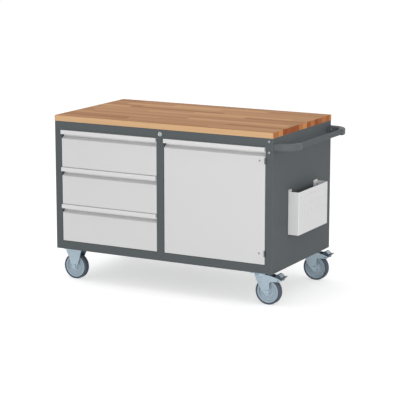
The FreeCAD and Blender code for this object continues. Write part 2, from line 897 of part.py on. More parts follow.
def door():
    """Cupboard door with its grip strip."""
    x = DOOR_BAY + BAY_WIDTH / 2
    piece = front_panel("door_panel", x, DOOR_BOTTOM, DOOR_HEIGHT)
    reach = S.hinge_radius + S.hinge_notch
    edge = BAY_WIDTH / 2 - S.gap / 2
    half = S.hinge_height / 2 + 1
    levels = [z - DOOR_BOTTOM for z in hinge_heights()]
    notches = [rectangle(edge - reach, z - half, edge, z + half) for z in levels]
    piece.cut("XZ", -S.sheet, reach - S.hinge_proud + S.sheet, *notches)
    holes = [Circle(edge - S.rivet_inset, z, S.rivet_radius + S.pin_clearance) for z in levels]
    piece.cut("XZ", -S.sheet, S.sheet + 2 * S.front_sheet, *holes)
    grip_strip("door_grip", x, DOOR_BOTTOM + DOOR_HEIGHT, S.hinge_reach)


def hinges():
    """Two three-knuckle hinges: frame leaves, door leaves and pins, drawn about the hinge line."""
    third = (S.hinge_height - 2 * S.running_gap) / 3
    half = S.hinge_height / 2
    bore = S.hinge_pin + S.pin_clearance
    place = {"x": HINGE_X, "y": -S.hinge_proud}
    face = S.hinge_proud

    frame = Piece("hinge_frame_leaves", **place)
    x0 = S.gap / 2 + S.sheet
    inside = S.hinge_radius + S.hinge_notch + S.hinge_proud
    for z in hinge_heights():
        plate = rectangle(x0, inside, x0 + S.hinge_leaf, inside + S.hinge_reach - S.hinge_leaf)
        frame.pad("XY", z - half, S.hinge_height, plate)
        for low in (z - half, z + half - third):
            frame.pad("XY", low, third, rectangle(x0, 0, x0 + S.hinge_leaf, inside))
            frame.pad("XY", low, third, Circle(0, 0, S.hinge_radius))
        frame.cut("XY", z - half, S.hinge_height, Circle(0, 0, bore))

    leaf = Piece("hinge_door_leaves", **place)
    y0 = face + S.front_sheet
    x1 = -S.hinge_radius - S.hinge_notch
    for z in hinge_heights():
        leaf.pad("XY", z - half, S.hinge_height, rectangle(-S.hinge_reach, y0, x1, y0 + S.hinge_leaf))
        leaf.pad("XY", z - third / 2, third, rectangle(x1, y0, -S.gap / 4, y0 + S.hinge_leaf))
        leaf.pad("XY", z - third / 2, third, Circle(0, 0, S.hinge_radius))
        leaf.cut("XY", z - half, S.hinge_height, Circle(0, 0, bore))
        leaf.pad("XZ", face, S.front_sheet, Circle(-S.rivet_inset, z, S.rivet_radius))
        leaf.pad("XZ", face - S.rivet_proud, S.rivet_proud, Circle(-S.rivet_inset, z, S.rivet_head))

    pins = Piece("hinge_pins", **place)
    for z in hinge_heights():
        pins.pad("XY", z - half, S.hinge_height, Circle(0, 0, S.hinge_pin))


# ---------------------------------------------------------------- lock


def lock():
    """Key lock above the partition, its cam and the locking bar inside the partition."""
    place = {"x": DIVIDER_CENTRE, "z": LOCK_HEIGHT}
    bore = S.rotor_radius + S.pin_clearance
    barrel = Piece("lock_barrel", **place)
    barrel.spin([
        (bore, -S.lock_flange),
        (S.lock_flange_radius, -S.lock_flange),
        (S.lock_flange_radius, 0),
        (S.lock_barrel_radius, 0),
        (S.lock_barrel_radius, S.lock_barrel_length),
        (bore, S.lock_barrel_length),
    ])

    rotor = Piece("lock_rotor", **place)
    rotor.pad("XZ", -S.lock_flange, S.lock_flange + S.rotor_length, Circle(0, 0, S.rotor_radius))
    half, tall = S.key_slot_width / 2, S.key_slot_length / 2
    slot = rectangle(-half, -tall, half, tall)
    rotor.cut("XZ", -S.lock_flange, S.rotor_length / 2, slot)

    cam = Piece("lock_cam", **place)
    lobe = S.cam_pin + S.cam_pin
    arm = rectangle(-S.rotor_radius, -S.rotor_radius, S.cam_throw + lobe, S.rotor_radius)
    cam.pad("XZ", S.rotor_length, S.cam_thickness, arm)
    reach = S.bar_clearance + S.bar_thickness * 2
    cam.pad("XZ", S.rotor_length + S.cam_thickness, reach, Circle(S.cam_throw, 0, S.cam_pin))

    bar = Piece("lock_bar", x=DIVIDER_CENTRE)
    half = S.bar_width / 2
    top = LOCK_HEIGHT + S.cam_pin + S.bar_clearance + S.tab_height
    low = drawer_bottom(3) + S.tab_level - S.tab_height
    bar.pad("XZ", BAR_FRONT, S.bar_thickness, rectangle(-half, low, half, top))
    tip = -S.divider / 2 - S.tab_reach
    for level in bar_tabs():
        bar.pad("XZ", BAR_FRONT, S.bar_thickness, rectangle(tip, level, 1 - half, level + S.tab_height))
    slot_left = -S.cam_pin - S.running_gap
    slot_right = S.cam_throw + S.cam_pin + S.running_gap
    slot_low = LOCK_HEIGHT - S.cam_pin - 1.2 * S.bar_clearance
    slot_high = LOCK_HEIGHT + S.cam_pin + S.running_gap
    slot = rectangle(slot_left, slot_low, slot_right, slot_high)
    bar.cut("XZ", BAR_FRONT, S.bar_thickness, slot)


# ---------------------------------------------------------------- handle, side box, screws


def handle():
    """Push handle: a straight tube between two moulded elbows that are held in the corner posts."""
    tube = Piece("handle_tube", x=S.length + S.handle_reach, z=HANDLE_HEIGHT)
    near, far = S.handle_inset, S.depth - S.handle_inset
    radius = S.handle_diameter / 2
    start = near + S.elbow_arm - S.elbow_bore + S.handle_clearance
    span = far - near - 2 * (S.elbow_arm - S.elbow_bore + S.handle_clearance)
    tube.pad("XZ", start, span, Circle(0, 0, radius))
    tube.cut("XZ", start, span, Circle(0, 0, radius - S.handle_wall))

    sockets = Piece("handle_sockets", z=HANDLE_HEIGHT)
    x0, x1 = S.length - S.post + S.sheet, S.length - S.sheet
    out, arm = S.length + S.handle_reach, S.elbow_arm
    wide, tall = S.elbow_width / 2, S.elbow_height / 2
    blocks = [
        (near, 1, rectangle(x0, S.sheet, x1, 2 * near - S.sheet, S.bend + 1)),
        (far, -1, rectangle(x0, far - near + 2 * S.sheet, x1, REAR, S.bend + 1)),
    ]
    for y, side, block in blocks:
        path = Outline([(x1 - S.sheet, y), (out, y, S.elbow_bend), (out, y + side * arm)], closed=False)
        section = rectangle(y - wide, -tall, y + wide, tall, S.elbow_round)
        sockets.sweep("XY", 0, path, "YZ", x1 - S.sheet, section)
        sockets.pad("XY", -S.socket_height / 2, S.socket_height, block)
    bore = Circle(out, 0, radius + S.handle_clearance)
    sockets.cut("XZ", near + arm - S.elbow_bore, S.elbow_bore + S.sheet, bore)
    sockets.cut("XZ", far - arm - S.sheet, S.elbow_bore + S.sheet, bore)
    x = S.length - S.screw_inset
    offsets = (-S.screw_spacing / 2, S.screw_spacing / 2)
    holes = [Circle(x, z, S.screw_radius + S.pin_clearance) for z in offsets]
    sockets.cut("XZ", S.sheet, S.screw_length - S.sheet, *holes)
    sockets.cut("XZ", S.depth - S.screw_length, S.screw_length - 2 * S.sheet, *holes)


def side_box():
    """Folded box on the right panel, open at the top, with slots in its outer wall."""
    piece = Piece("side_box", x=S.length, y=S.box_start, z=S.box_lift)
    deep, wide, wall = S.box_depth, S.box_width, S.box_sheet
    path = [
        (0, wide - S.box_flange_far, 0),
        (0, wide, wall),
        (deep, wide, S.bend),
        (deep, 0, S.bend),
        (0, 0, wall),
        (0, S.box_flange_near, 0),
    ]
    piece.pad("XY", 0, S.box_height, folded(path, wall))
    corner = S.bend + wall
    floor = [(0, 0), (deep, 0, corner), (deep, wide, corner), (0, wide)]
    piece.pad("XY", 0, wall, floor)
    tabs = [
        rectangle(0, 2 * wall, wall, S.box_flange_near),
        rectangle(0, wide - S.box_flange_far, wall, wide - 2 * wall),
    ]
    piece.pad("XY", S.box_height, S.box_flange_rise, *tabs)
    half, tall = S.slot_width / 2, S.slot_height / 2
    y = (wide - (S.slot_columns - 1) * S.slot_pitch) / 2
    z = S.box_height - S.slot_drop - (S.slot_rows - 1) * S.slot_pitch
    slot = rectangle(y - half, z - tall, y + half, z + tall)
    first = piece.cut("YZ", deep - 2 * wall, 3 * wall, slot)
    columns, rows = SIZES["slot_columns"], SIZES["slot_rows"]
    piece.repeat([first], ("H_Axis", S.slot_pitch, columns), ("V_Axis", S.slot_pitch, rows))
    holes = [
        Circle(y - S.box_start, z - S.box_lift, S.screw_radius + S.pin_clearance)
        for y, z in box_screw_places()
    ]
    piece.cut("YZ", -wall, 3 * wall, *holes)


def pan_head_screws():
    """Pan-head screws of the handle's sockets, the side box and the worktop."""
    piece = Piece("pan_head_screws")
    head, length = S.screw_head_height, S.screw_length

    def screws(plane, level, along, places):
        """Screws whose heads sit on a level and whose shanks run along the plane's axis."""
        shanks = [Circle(u, v, S.screw_radius) for u, v in places]
        heads = [Circle(u, v, S.screw_head) for u, v in places]
        piece.pad(plane, level if along > 0 else level - length, length, *shanks)
        piece.pad(plane, level - head if along > 0 else level, head, *heads)

    x = S.length - S.screw_inset
    posts = [(x, z) for z in screw_heights()]
    screws("XZ", as_size(0), 1, posts)
    screws("XZ", S.depth, -1, posts)
    screws("YZ", S.length + S.box_sheet, -1, box_screw_places())
    for y in (S.worktop_screw_inset, REAR - S.worktop_screw_inset):
        screws("XY", S.body_height - S.sheet, 1, [(c.u, c.v) for c in worktop_screws(y)])


# ---------------------------------------------------------------- casters


def bolt_places():
    """Places (x, y) of the sixteen caster bolts."""
    along, across = S.bolt_spacing_along / 2, S.bolt_spacing_across / 2
    return [
        (x + dx, y + dy)
        for x in (S.fixed_inset, SWIVEL_X)
        for y in CASTER_ROWS
        for dx in (-along, along)
        for dy in (-across, across)
    ]


def caster_bolts():
    """Hex bolts with nuts through the caster plates and the bottom pan's flanges."""
    piece = Piece("caster_bolts", base=FLOOR)
    x, y = bolt_places()[0]
    nut = BOTTOM + S.sheet
    shank = S.plate_thickness + S.sheet + 2 * S.bolt_head_height
    parts = [
        piece.pad("XY", PLATE_UNDERSIDE, shank, Circle(x, y, S.bolt_radius)),
        piece.pad("XY", PLATE_UNDERSIDE - S.bolt_head_height, S.bolt_head_height, hexagon(x, y, S.bolt_head)),
        piece.pad("XY", nut, S.bolt_head_height, hexagon(x, y, S.bolt_head)),
    ]
    piece.repeat(
        parts,
        ("H_Axis", S.bolt_spacing_along, 2),
        ("V_Axis", S.bolt_spacing_across, 2),
        ("H_Axis", SWIVEL_X - S.fixed_inset, 2),
        ("V_Axis", CASTER_ROWS[1] - CASTER_ROWS[0], 2),
    )


def plate_outline(x, y):
    """Outline of a caster's top plate."""
    half_x, half_y = S.plate_length / 2, S.plate_width / 2
    return rectangle(x - half_x, y - half_y, x + half_x, y + half_y, S.bolt_radius)


def plate_holes(x, y):
    """Bolt holes of a caster's top plate."""
    along, across = S.bolt_spacing_along / 2, S.bolt_spacing_across / 2
    radius = S.bolt_radius + S.bolt_clearance
    return [Circle(x + dx, y + dy, radius) for dx in (-along, along) for dy in (-across, across)]


def fixed_forks():
    """Two fixed forks: top plates whose cheeks run down to the axle."""
    piece = Piece("fixed_forks", x=S.fixed_inset, base=FLOOR)
    top = PLATE_UNDERSIDE
    boss = S.fork_boss
    shoulder = top - S.race_height * 4
    wide = S.bolt_spacing_across / 2 - S.bolt_head - S.fork_clearance
    foot = S.plate_length / 2 + S.plate_thickness
    for y in CASTER_ROWS:
        piece.pad("XY", top, S.plate_thickness, plate_outline(as_size(0), y))
        trapezium = [(-foot, top), (foot, top), (boss, HUB_HEIGHT), (-boss, HUB_HEIGHT)]
        piece.pad("XZ", y - wide, 2 * wide, trapezium)
        piece.pad("XZ", y - FORK_HALF, 2 * FORK_HALF, Circle(as_size(0), HUB_HEIGHT, boss))
        deep, clear = 2 * foot, HUB_HEIGHT - 2 * boss
        for side in (-1, 1):
            outside = [
                (y + side * FORK_HALF, clear),
                (y + side * FORK_HALF, shoulder),
                (y + side * wide, top),
                (y + side * 2 * wide, top),
                (y + side * 2 * wide, clear),
            ]
            piece.cut("YZ", -foot, deep, outside)
        inside = [
            (y - FORK_INSIDE, clear),
            (y - FORK_INSIDE, shoulder),
            (y - wide + S.fork_sheet, top),
            (y + wide - S.fork_sheet, top),
            (y + FORK_INSIDE, shoulder),
            (y + FORK_INSIDE, clear),
        ]
        piece.cut("YZ", -foot, deep, inside)
        piece.cut("XY", top, S.plate_thickness, *plate_holes(as_size(0), y))
        axle = Circle(as_size(0), HUB_HEIGHT, S.axle_radius + S.pin_clearance)
        piece.cut("XZ", y - FORK_HALF, 2 * FORK_HALF, axle)


def swivel_plates():
    """Top plates of the two swivel casters with their ball races and kingpins."""
    piece = Piece("swivel_plates", x=SWIVEL_X, base=FLOOR)
    web_under = FORK_TOP - S.fork_sheet
    zero = as_size(0)
    for y in CASTER_ROWS:
        piece.pad("XY", PLATE_UNDERSIDE, S.plate_thickness, plate_outline(zero, y))
        piece.cut("XY", PLATE_UNDERSIDE, S.plate_thickness, *plate_holes(zero, y))
        piece.pad("XY", FORK_TOP + S.running_gap, S.race_height, Circle(zero, y, S.race_radius))
        rivet = web_under - S.running_gap - S.plate_thickness
        pin = FORK_TOP + S.running_gap - rivet
        piece.pad("XY", rivet, pin, Circle(zero, y, S.kingpin_radius))
        piece.pad("XY", rivet, S.plate_thickness, Circle(zero, y, S.kingpin_head))


def swivel_fork(name, y):
    """Swivel fork, pressed: a head under the ball race, cheeks that curl round the front, brake wings."""
    piece = Piece(name, x=SWIVEL_X, y=y, base=FLOOR)
    top, hub, boss, trail = FORK_TOP, HUB_HEIGHT, S.fork_boss, S.trail
    wing, wall = trail + S.wheel_diameter / 2 + S.fork_wing, S.fork_sheet
    under = hub + S.wing_rise
    side = [
        (-S.fork_nose, top),
        (trail - 3 * boss, hub + 2 * boss, "via"),
        (trail - boss * 0.85, hub - boss * 0.8),
        (trail, hub - boss * 1.1, "via"),
        (trail + boss, hub),
        (trail + boss * 0.75, hub + S.fork_waist),
        (trail + boss * 1.1, hub + S.fork_neck),
        (wing, under),
        (wing + wall, under + S.wing_depth),
        (trail + boss * 2.3, top - wall * 2, "via"),
        (trail, top),
    ]
    piece.pad("XZ", -FORK_HALF, 2 * FORK_HALF, side)
    low, tall = hub - 3 * boss, top - hub + 3 * boss
    nose, tip, flat, bend = S.fork_nose, S.fork_nose_half, S.fork_flat, S.fork_bend
    slope = (FORK_HALF - tip) / (flat + nose)

    def cheek(sign, half):
        """Plan of one cheek's face: it runs in from the nose and bends into the flat part."""
        return [
            (-nose + FORK_HALF - half, sign * (half - FORK_HALF + tip)),
            (flat - bend, sign * (half - bend * slope)),
            (flat + bend, sign * half),
        ]

    for sign in (-1, 1):
        off = sign * (FORK_HALF + wall)
        piece.cut("XY", low, tall, cheek(sign, FORK_HALF) + [(flat + bend, off), (-nose - wall, off)])
    back = 2 * S.wheel_diameter
    bay = cheek(1, FORK_INSIDE) + [(back, FORK_INSIDE), (back, -FORK_INSIDE)]
    bay += cheek(-1, FORK_INSIDE)[::-1]
    piece.cut("XY", low, tall - wall, bay)
    piece.pad("XY", top - wall, wall, Circle(0, 0, S.fork_head))
    piece.cut("XY", top - wall, wall, Circle(0, 0, S.kingpin_radius + S.pin_clearance))
    axle = Circle(trail, hub, S.axle_radius + S.pin_clearance)
    pivot = Circle(*pedal_pivot(), S.pedal_pin + S.pin_clearance)
    piece.cut("XZ", -FORK_HALF, 2 * FORK_HALF, axle, pivot)


def pedal_pivot():
    """Place (x, z) of the brake pedal's pivot, from the swivel axis and the floor."""
    return (S.trail + S.fork_boss * 3.7, HUB_HEIGHT + S.fork_boss * 3.85)


def brake_pedal(name, y):
    """Brake pedal between the fork's wings: a ribbed tread on two arms, drawn about its pivot."""
    x, z = pedal_pivot()
    piece = Piece(name, x=SWIVEL_X + x, y=y, z=z, base=FLOOR)
    half, wall = FORK_INSIDE - S.fork_clearance, S.pedal_sheet
    back, high, reach, nose = S.pedal_back, S.pedal_height, S.pedal_reach, S.pedal_nose
    side = [
        (-back, wall * 3),
        (-back / 3, high - wall),
        (0, high),
        (reach * 0.6, nose),
        (reach * 0.9, nose + wall * 2),
        (reach, nose + wall),
        (reach * 0.65, nose - wall * 4),
        (wall * 4, -wall * 3),
        (-wall * 3, -wall * 3),
    ]
    piece.pad("XZ", -half, 2 * half, side)
    under = [
        (wall * 1.5 - back, 0),
        (-back / 3, high - wall * 3),
        (-wall / 2, high - wall * 1.75),
        (reach * 0.6 - wall, nose - wall * 1.5),
        (wall * 4, -wall * 6),
        (-wall * 6, -wall * 6),
    ]
    piece.cut("XZ", wall - half, 2 * half - 2 * wall, under)
    piece.pad("XZ", -FORK_HALF, 2 * FORK_HALF, Circle(0, 0, S.pedal_pin))


def wheel(name, x, y):
    """Rim and tyre of one wheel, revolved about the axle."""
    place = {"x": x, "y": y, "z": HUB_HEIGHT, "base": FLOOR}
    outer = S.wheel_diameter / 2
    seat = outer - S.tyre_depth
    half_tyre, half_hub, web = S.tyre_width / 2, S.hub_width / 2, S.web_thickness / 2
    ring = seat - S.web_thickness
    bore = S.axle_radius + S.pin_clearance
    rim = Piece(f"rim_{name}", **place)
    lip, step, foot = half_tyre - S.rim_step, web + S.rim_step, (S.hub_radius + ring) / 2
    face = [
        (bore, half_hub),
        (S.hub_radius - S.rim_step, half_hub),
        (S.hub_radius + web, web),
        (foot - S.rim_step, web),
        (foot, step),
        (foot + S.rim_step, step),
        (foot + 2 * S.rim_step, web),
        (ring - S.rim_step, web),
        (ring, lip),
        (seat, lip),
    ]
    rim.spin([(r, -level) for r, level in face] + face[::-1])
    tyre = Piece(f"tyre_{name}", **place)
    tyre.spin([
        (seat, -half_tyre),
        (outer, -half_tyre, S.tyre_round),
        (outer, half_tyre, S.tyre_round),
        (seat, half_tyre),
    ])


def axles(name, x, rows):
    """Axle bolts with a hex head on each side of the fork."""
    piece = Piece(name, x=x, base=FLOOR)
    zero = as_size(0)
    for y in rows:
        piece.pad("XZ", y - FORK_HALF, 2 * FORK_HALF, Circle(zero, HUB_HEIGHT, S.axle_radius))
        for face in (y - FORK_HALF - S.axle_head_height, y + FORK_HALF):
            piece.pad("XZ", face, S.axle_head_height, hexagon(zero, HUB_HEIGHT, S.axle_head))


def casters():
    """All four casters."""
    fixed_forks()
    axles("fixed_axles", S.fixed_inset, CASTER_ROWS)
    swivel_plates()
    caster_bolts()
    for corner, y in zip(("front", "rear"), CASTER_ROWS):
        wheel(f"{corner}_left", S.fixed_inset, y)
        wheel(f"{corner}_right", SWIVEL_X + S.trail, y)
        swivel_fork(f"swivel_fork_{corner}", y)
        axles(f"swivel_axle_{corner}", SWIVEL_X + S.trail, (y,))
        brake_pedal(f"brake_pedal_{corner}", y)


# ---------------------------------------------------------------- build and write


def check_model():
    """Stop if a feature failed, a cut removed nothing or a sub-part isn't a sound solid."""
    for thing in DOC.Objects:
        if any(state in ("Invalid", "Error") for state in thing.State):
            raise RuntimeError(f"{thing.Name} failed: {thing.State}")
    for pocket in CUTS:
        if pocket.Shape.Volume > pocket.BaseFeature.Shape.Volume - 1e-3:
            raise RuntimeError(f"{pocket.Name} cuts nothing")
    for body in PIECES:
        shape = body.Shape
        if shape.isNull() or not shape.isValid() or not shape.Solids:
            raise RuntimeError(f"{body.Label} has no valid solid")


def main():
    """Build every sub-part and write its file."""
    side_panel("side_panel_left", 0, 1)
    right_side_panel()
    back_panel()
    base_pan()
    top_front_rail()
    centre_partition()
    runner_uprights()
    worktop()
    shelf()
    shelf_clips()
    door_catch()
    for number in DRAWERS:
        drawer(number)
    door()
    hinges()
    lock()
    handle()
    side_box()
    pan_head_screws()
    casters()
    DOC.recompute()
    check_model()
    os.makedirs("parts", exist_ok=True)
    for body in PIECES:
        body.Shape.exportStep(f"parts/{body.Label}.step")
    print(f"{len(PIECES)} sub-parts written")


main()
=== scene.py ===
"""Looks of the mobile workbench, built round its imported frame.

Sizes are in metres. X runs along the bench to the push handle, Y to the back and Z up.
"""

import logging
import math
from abc import ABC, abstractmethod
from collections.abc import Callable, Iterable, Iterator
from contextlib import contextmanager
from dataclasses import dataclass, field
from enum import Enum

import bmesh
import bpy
from mathutils import Matrix, Vector

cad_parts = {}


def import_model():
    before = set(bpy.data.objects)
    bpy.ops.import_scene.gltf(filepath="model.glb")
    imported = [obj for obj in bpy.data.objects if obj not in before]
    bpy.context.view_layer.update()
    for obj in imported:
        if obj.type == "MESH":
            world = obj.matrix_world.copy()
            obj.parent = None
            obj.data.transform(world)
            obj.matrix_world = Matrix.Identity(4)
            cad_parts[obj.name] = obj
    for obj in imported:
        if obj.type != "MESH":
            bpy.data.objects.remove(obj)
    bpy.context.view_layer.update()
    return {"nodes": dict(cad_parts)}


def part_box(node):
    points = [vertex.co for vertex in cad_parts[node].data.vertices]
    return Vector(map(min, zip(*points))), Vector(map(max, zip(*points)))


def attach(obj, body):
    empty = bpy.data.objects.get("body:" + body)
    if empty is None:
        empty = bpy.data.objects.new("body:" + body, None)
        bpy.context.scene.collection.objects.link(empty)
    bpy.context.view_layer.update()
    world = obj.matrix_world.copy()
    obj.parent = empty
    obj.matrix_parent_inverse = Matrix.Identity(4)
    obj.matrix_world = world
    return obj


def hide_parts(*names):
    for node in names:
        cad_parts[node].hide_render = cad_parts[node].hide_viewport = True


Piece = bpy.types.Object
Tree = bpy.types.NodeTree
Node = bpy.types.Node
Socket = bpy.types.NodeSocket
Steps = tuple[tuple[float, float], ...]

LOG = logging.getLogger("workbench")
MM = 0.001
# How much of a face's normal goes along an axis when the face looks that way.
SQUARE = 0.99
SMOOTH_DEGREES = 35.0


# ---------------------------------------------------------------- colours and nodes


def hex_linear(code: str) -> tuple[float, float, float, float]:
    """Turn an sRGB hex colour into linear values.

    Args:
        code: six hex digits after a hash.

    Returns:
        Linear red, green and blue, and full opacity.
    """
    values = [int(code[k : k + 2], 16) / 255 for k in (1, 3, 5)]
    linear = [v / 12.92 if v <= 0.04045 else ((v + 0.055) / 1.055) ** 2.4 for v in values]
    return (linear[0], linear[1], linear[2], 1.0)


def per_metre(size_mm: float) -> float:
    """Scale of a pattern with marks of this size; 142.857 mm is 7 marks to the metre."""
    return 1 / (size_mm * MM)


def plug(tree: Tree, node: Node, inputs: dict[str | int, object]) -> None:
    """Set a node's sockets to values, or link them to what feeds them.

    Args:
        tree: node tree of the material or world.
        node: node whose sockets they are.
        inputs: socket name or number to a value, to an output, or to a node whose first
            output feeds it.
    """
    for name, value in inputs.items():
        source = value.outputs[0] if isinstance(value, Node) else value
        if isinstance(source, Socket):
            tree.links.new(source, node.inputs[name])
        else:
            node.inputs[name].default_value = source


def add_node(
    tree: Tree,
    kind: str,
    settings: dict[str, object] | None = None,
    inputs: dict[str | int, object] | None = None,
) -> Node:
    """Add a shader node with its settings and what goes into its sockets.

    Args:
        tree: node tree of the material or world.
        kind: node type without the ShaderNode prefix.
        settings: attributes of the node by name.
        inputs: what goes into its sockets, as plug takes it.

    Returns:
        The new node.
    """
    node = tree.nodes.new(f"ShaderNode{kind}")
    for name, value in (settings or {}).items():
        setattr(node, name, value)
    plug(tree, node, inputs or {})
    return node


# ---------------------------------------------------------------- finishes


@dataclass(frozen=True)
class Finish(ABC):
    """A surface finish that dresses one principled shader; its shade is its darker tone."""

    name: str
    colour: str
    shade: str
    roughness: float
    metallic: float = 0.0
    specular: float = 0.5

    def material(self) -> bpy.types.Material:
        """Make the material, or return the one made before.

        Returns:
            The finish as a Blender material.
        """
        found = bpy.data.materials.get(self.name)
        if found:
            return found
        material = bpy.data.materials.new(self.name)
        material.use_nodes = True
        material.diffuse_color = hex_linear(self.colour)
        tree = material.node_tree
        shader = tree.nodes["Principled BSDF"]
        even = {
            "Base Color": hex_linear(self.colour),
            "Roughness": self.roughness,
            "Metallic": self.metallic,
            "Specular IOR Level": self.specular,
        }
        plug(tree, shader, even)
        place = add_node(tree, "TexCoord").outputs["Object"]
        plug(tree, shader, self.pattern(tree, place))
        return material

    @abstractmethod
    def pattern(self, tree: Tree, place: Socket) -> dict[str, object]:
        """Add the nodes of the finish's own pattern.

        Args:
            tree: node tree of the material.
            place: object coordinates in metres.

        Returns:
            What feeds the shader's sockets, by their names.
        """

    def vary(self, tree: Tree, factor: Node) -> Socket:
        """Run the colour from the finish's shade to its full colour.

        Args:
            tree: node tree of the material.
            factor: node that gives 0 for the shade and 1 for the colour.

        Returns:
            The colour.
        """
        tones = {6: hex_linear(self.shade), 7: hex_linear(self.colour)}
        mix = add_node(tree, "Mix", {"data_type": "RGBA"}, {"Factor": factor, **tones})
        return mix.outputs[2]


@dataclass(frozen=True)
class PowderCoat(Finish):
    """Powder coat on sheet steel: semi-matt, with the fine orange peel of the baked powder."""

    # Real peel is about 0.5 mm across; it is drawn coarser so that it shows.
    peel_mm: float = 1.4
    peel_depth_mm: float = 0.05
    peel_strength: float = 0.12
    cloud_mm: float = 142.857
    # How far the peel takes the roughness down and up.
    gloss: tuple[float, float] = (-0.05, 0.06)

    def pattern(self, tree: Tree, place: Socket) -> dict[str, object]:
        """Add orange peel, and a faint cloudiness over hand-widths.

        Args:
            tree: node tree of the material.
            place: object coordinates in metres.

        Returns:
            What feeds the shader's sockets, by their names.
        """
        fine = {"Vector": place, "Scale": per_metre(self.peel_mm), "Detail": 2.0}
        peel = add_node(tree, "TexNoise", inputs=fine)
        relief = {"Strength": self.peel_strength, "Distance": self.peel_depth_mm * MM}
        bump = add_node(tree, "Bump", inputs={**relief, "Height": peel})
        coarse = {"Vector": place, "Scale": per_metre(self.cloud_mm), "Detail": 3.0}
        cloud = add_node(tree, "TexNoise", inputs=coarse)
        low, high = (self.roughness + change for change in self.gloss)
        gloss = add_node(tree, "MapRange", inputs={"Value": peel, "To Min": low, "To Max": high})
        return {"Base Color": self.vary(tree, cloud), "Roughness": gloss, "Normal": bump}


@dataclass(frozen=True)
class OiledBeech(Finish):
    """Glued beech staves, planed and oiled: straight grain, small flecks, darker end grain.

    The shade is the dark tone of the staves' faces. Streaks and flecks have their length
    along the wood first and then their width.
    """

    stave_mm: float = 43.0
    piece_mm: float = 520.0
    streak_mm: tuple[float, float] = (333.333, 3.84615)
    streak_share: float = 0.45
    streak_depth_mm: float = 0.1
    streak_strength: float = 0.15
    fleck_mm: tuple[float, float] = (7.69231, 0.909091)
    fleck_share: float = 0.14
    # Real rings are 2 or 3 mm apart; they are drawn coarser so that they show.
    ring_mm: float = 5.06708
    ring_share: float = 0.3
    # The hearts of the staves are spread over this many metres.
    heart_spread: float = 0.4
    face_light: str = "#C69A72"
    # The long edges' tones are painted light: paler than the top because of how light falls on
    # them.
    lit_edge_dark: str = "#CFA57B"
    lit_edge_light: str = "#E2BE95"
    end_dark: str = "#8E482A"
    end_light: str = "#CC8E5A"
    end_seed: float = 43.0
    # Where each colour ramp has its dark and its light tone.
    ramp: tuple[float, float] = (0.25, 0.75)
    # A face is the top or an end where its normal goes this far along Z or X.
    squareness: float = 0.6

    def pattern(self, tree: Tree, place: Socket) -> dict[str, object]:
        """Lay out the staves and their grain on the faces, edges and ends.

        Args:
            tree: node tree of the material.
            place: object coordinates in metres.

        Returns:
            What feeds the shader's sockets, by their names.
        """
        axes = add_node(tree, "SeparateXYZ", inputs={0: place})
        ratio = {0: axes.outputs["Y"], 1: self.stave_mm * MM}
        across = add_node(tree, "Math", {"operation": "DIVIDE"}, ratio)
        row = add_node(tree, "Math", {"operation": "FLOOR"}, {0: across})
        shift = add_node(tree, "TexWhiteNoise", {"noise_dimensions": "1D"}, {"W": row})
        streaks = self.grain(tree, place, self.streak_mm)
        flecks = self.grain(tree, place, self.fleck_mm)
        rings = self.end_rings(tree, axes, shift)
        seed = add_node(tree, "Math", {"operation": "ADD"}, {0: row, 1: self.end_seed})
        end_tone = add_node(tree, "TexWhiteNoise", {"noise_dimensions": "1D"}, {"W": seed})
        tint = self.stave_tint(tree, axes, row, shift)
        mixed = {"data_type": "FLOAT"}
        face = add_node(tree, "Mix", mixed, {0: self.streak_share, 2: tint, 3: streaks})
        face = add_node(tree, "Mix", mixed, {0: self.fleck_share, 2: face, 3: flecks})
        end = add_node(tree, "Mix", mixed, {0: self.ring_share, 2: end_tone, 3: rings})

        ramps = []
        for factor, tones in (
            # The long edges get the paler tones of painted light.
            (face, (self.lit_edge_dark, self.lit_edge_light)),
            (face, (self.shade, self.face_light)),
            (end, (self.end_dark, self.end_light)),
        ):
            ramp = add_node(tree, "ValToRGB", inputs={"Fac": factor})
            for element, position, tone in zip(ramp.color_ramp.elements, self.ramp, tones):
                element.position = position
                element.color = hex_linear(tone)
            ramps.append(ramp.outputs["Color"])
        relief = {"Strength": self.streak_strength, "Distance": self.streak_depth_mm * MM}
        bump = add_node(tree, "Bump", inputs={**relief, "Height": streaks})
        return {"Base Color": self.by_side(tree, *ramps), "Normal": bump}

    def stave_tint(self, tree: Tree, axes: Node, row: Node, shift: Node) -> Node:
        """Random tone of each piece of wood along a stave.

        Args:
            tree: node tree of the material.
            axes: separate axes of the object coordinates.
            row: number of the stave.
            shift: random number of the stave, by which its joints are moved along.

        Returns:
            Node that gives 0 to 1.
        """
        ratio = {0: axes.outputs["X"], 1: self.piece_mm * MM}
        along = add_node(tree, "Math", {"operation": "DIVIDE"}, ratio)
        moved = add_node(tree, "Math", {"operation": "ADD"}, {0: along, 1: shift})
        piece = add_node(tree, "Math", {"operation": "FLOOR"}, {0: moved})
        cell = add_node(tree, "CombineXYZ", inputs={"X": row, "Y": piece})
        return add_node(tree, "TexWhiteNoise", {"noise_dimensions": "2D"}, {"Vector": cell})

    def end_rings(self, tree: Tree, axes: Node, shift: Node) -> Socket:
        """Growth rings of the end grain, bent differently in each stave.

        Args:
            tree: node tree of the material.
            axes: separate axes of the object coordinates.
            shift: random number of the stave.

        Returns:
            Socket from 0 to 1.
        """
        spread = {0: shift, 1: self.heart_spread}
        lift = add_node(tree, "Math", {"operation": "MULTIPLY"}, spread)
        moved = [
            add_node(tree, "Math", {"operation": "ADD"}, {0: axes.outputs[axis], 1: lift})
            for axis in ("Y", "Z")
        ]
        centre = add_node(tree, "CombineXYZ", inputs={"X": moved[0], "Y": moved[1]})
        # At a scale of 1 the wave's rings lie tau / 20 apart.
        scale = math.tau / 20 * per_metre(self.ring_mm)
        bent = {"Vector": centre, "Scale": scale, "Distortion": 1.2, "Detail": 2.0}
        rings = {"wave_type": "RINGS", "rings_direction": "Z"}
        return add_node(tree, "TexWave", rings, bent).outputs["Fac"]

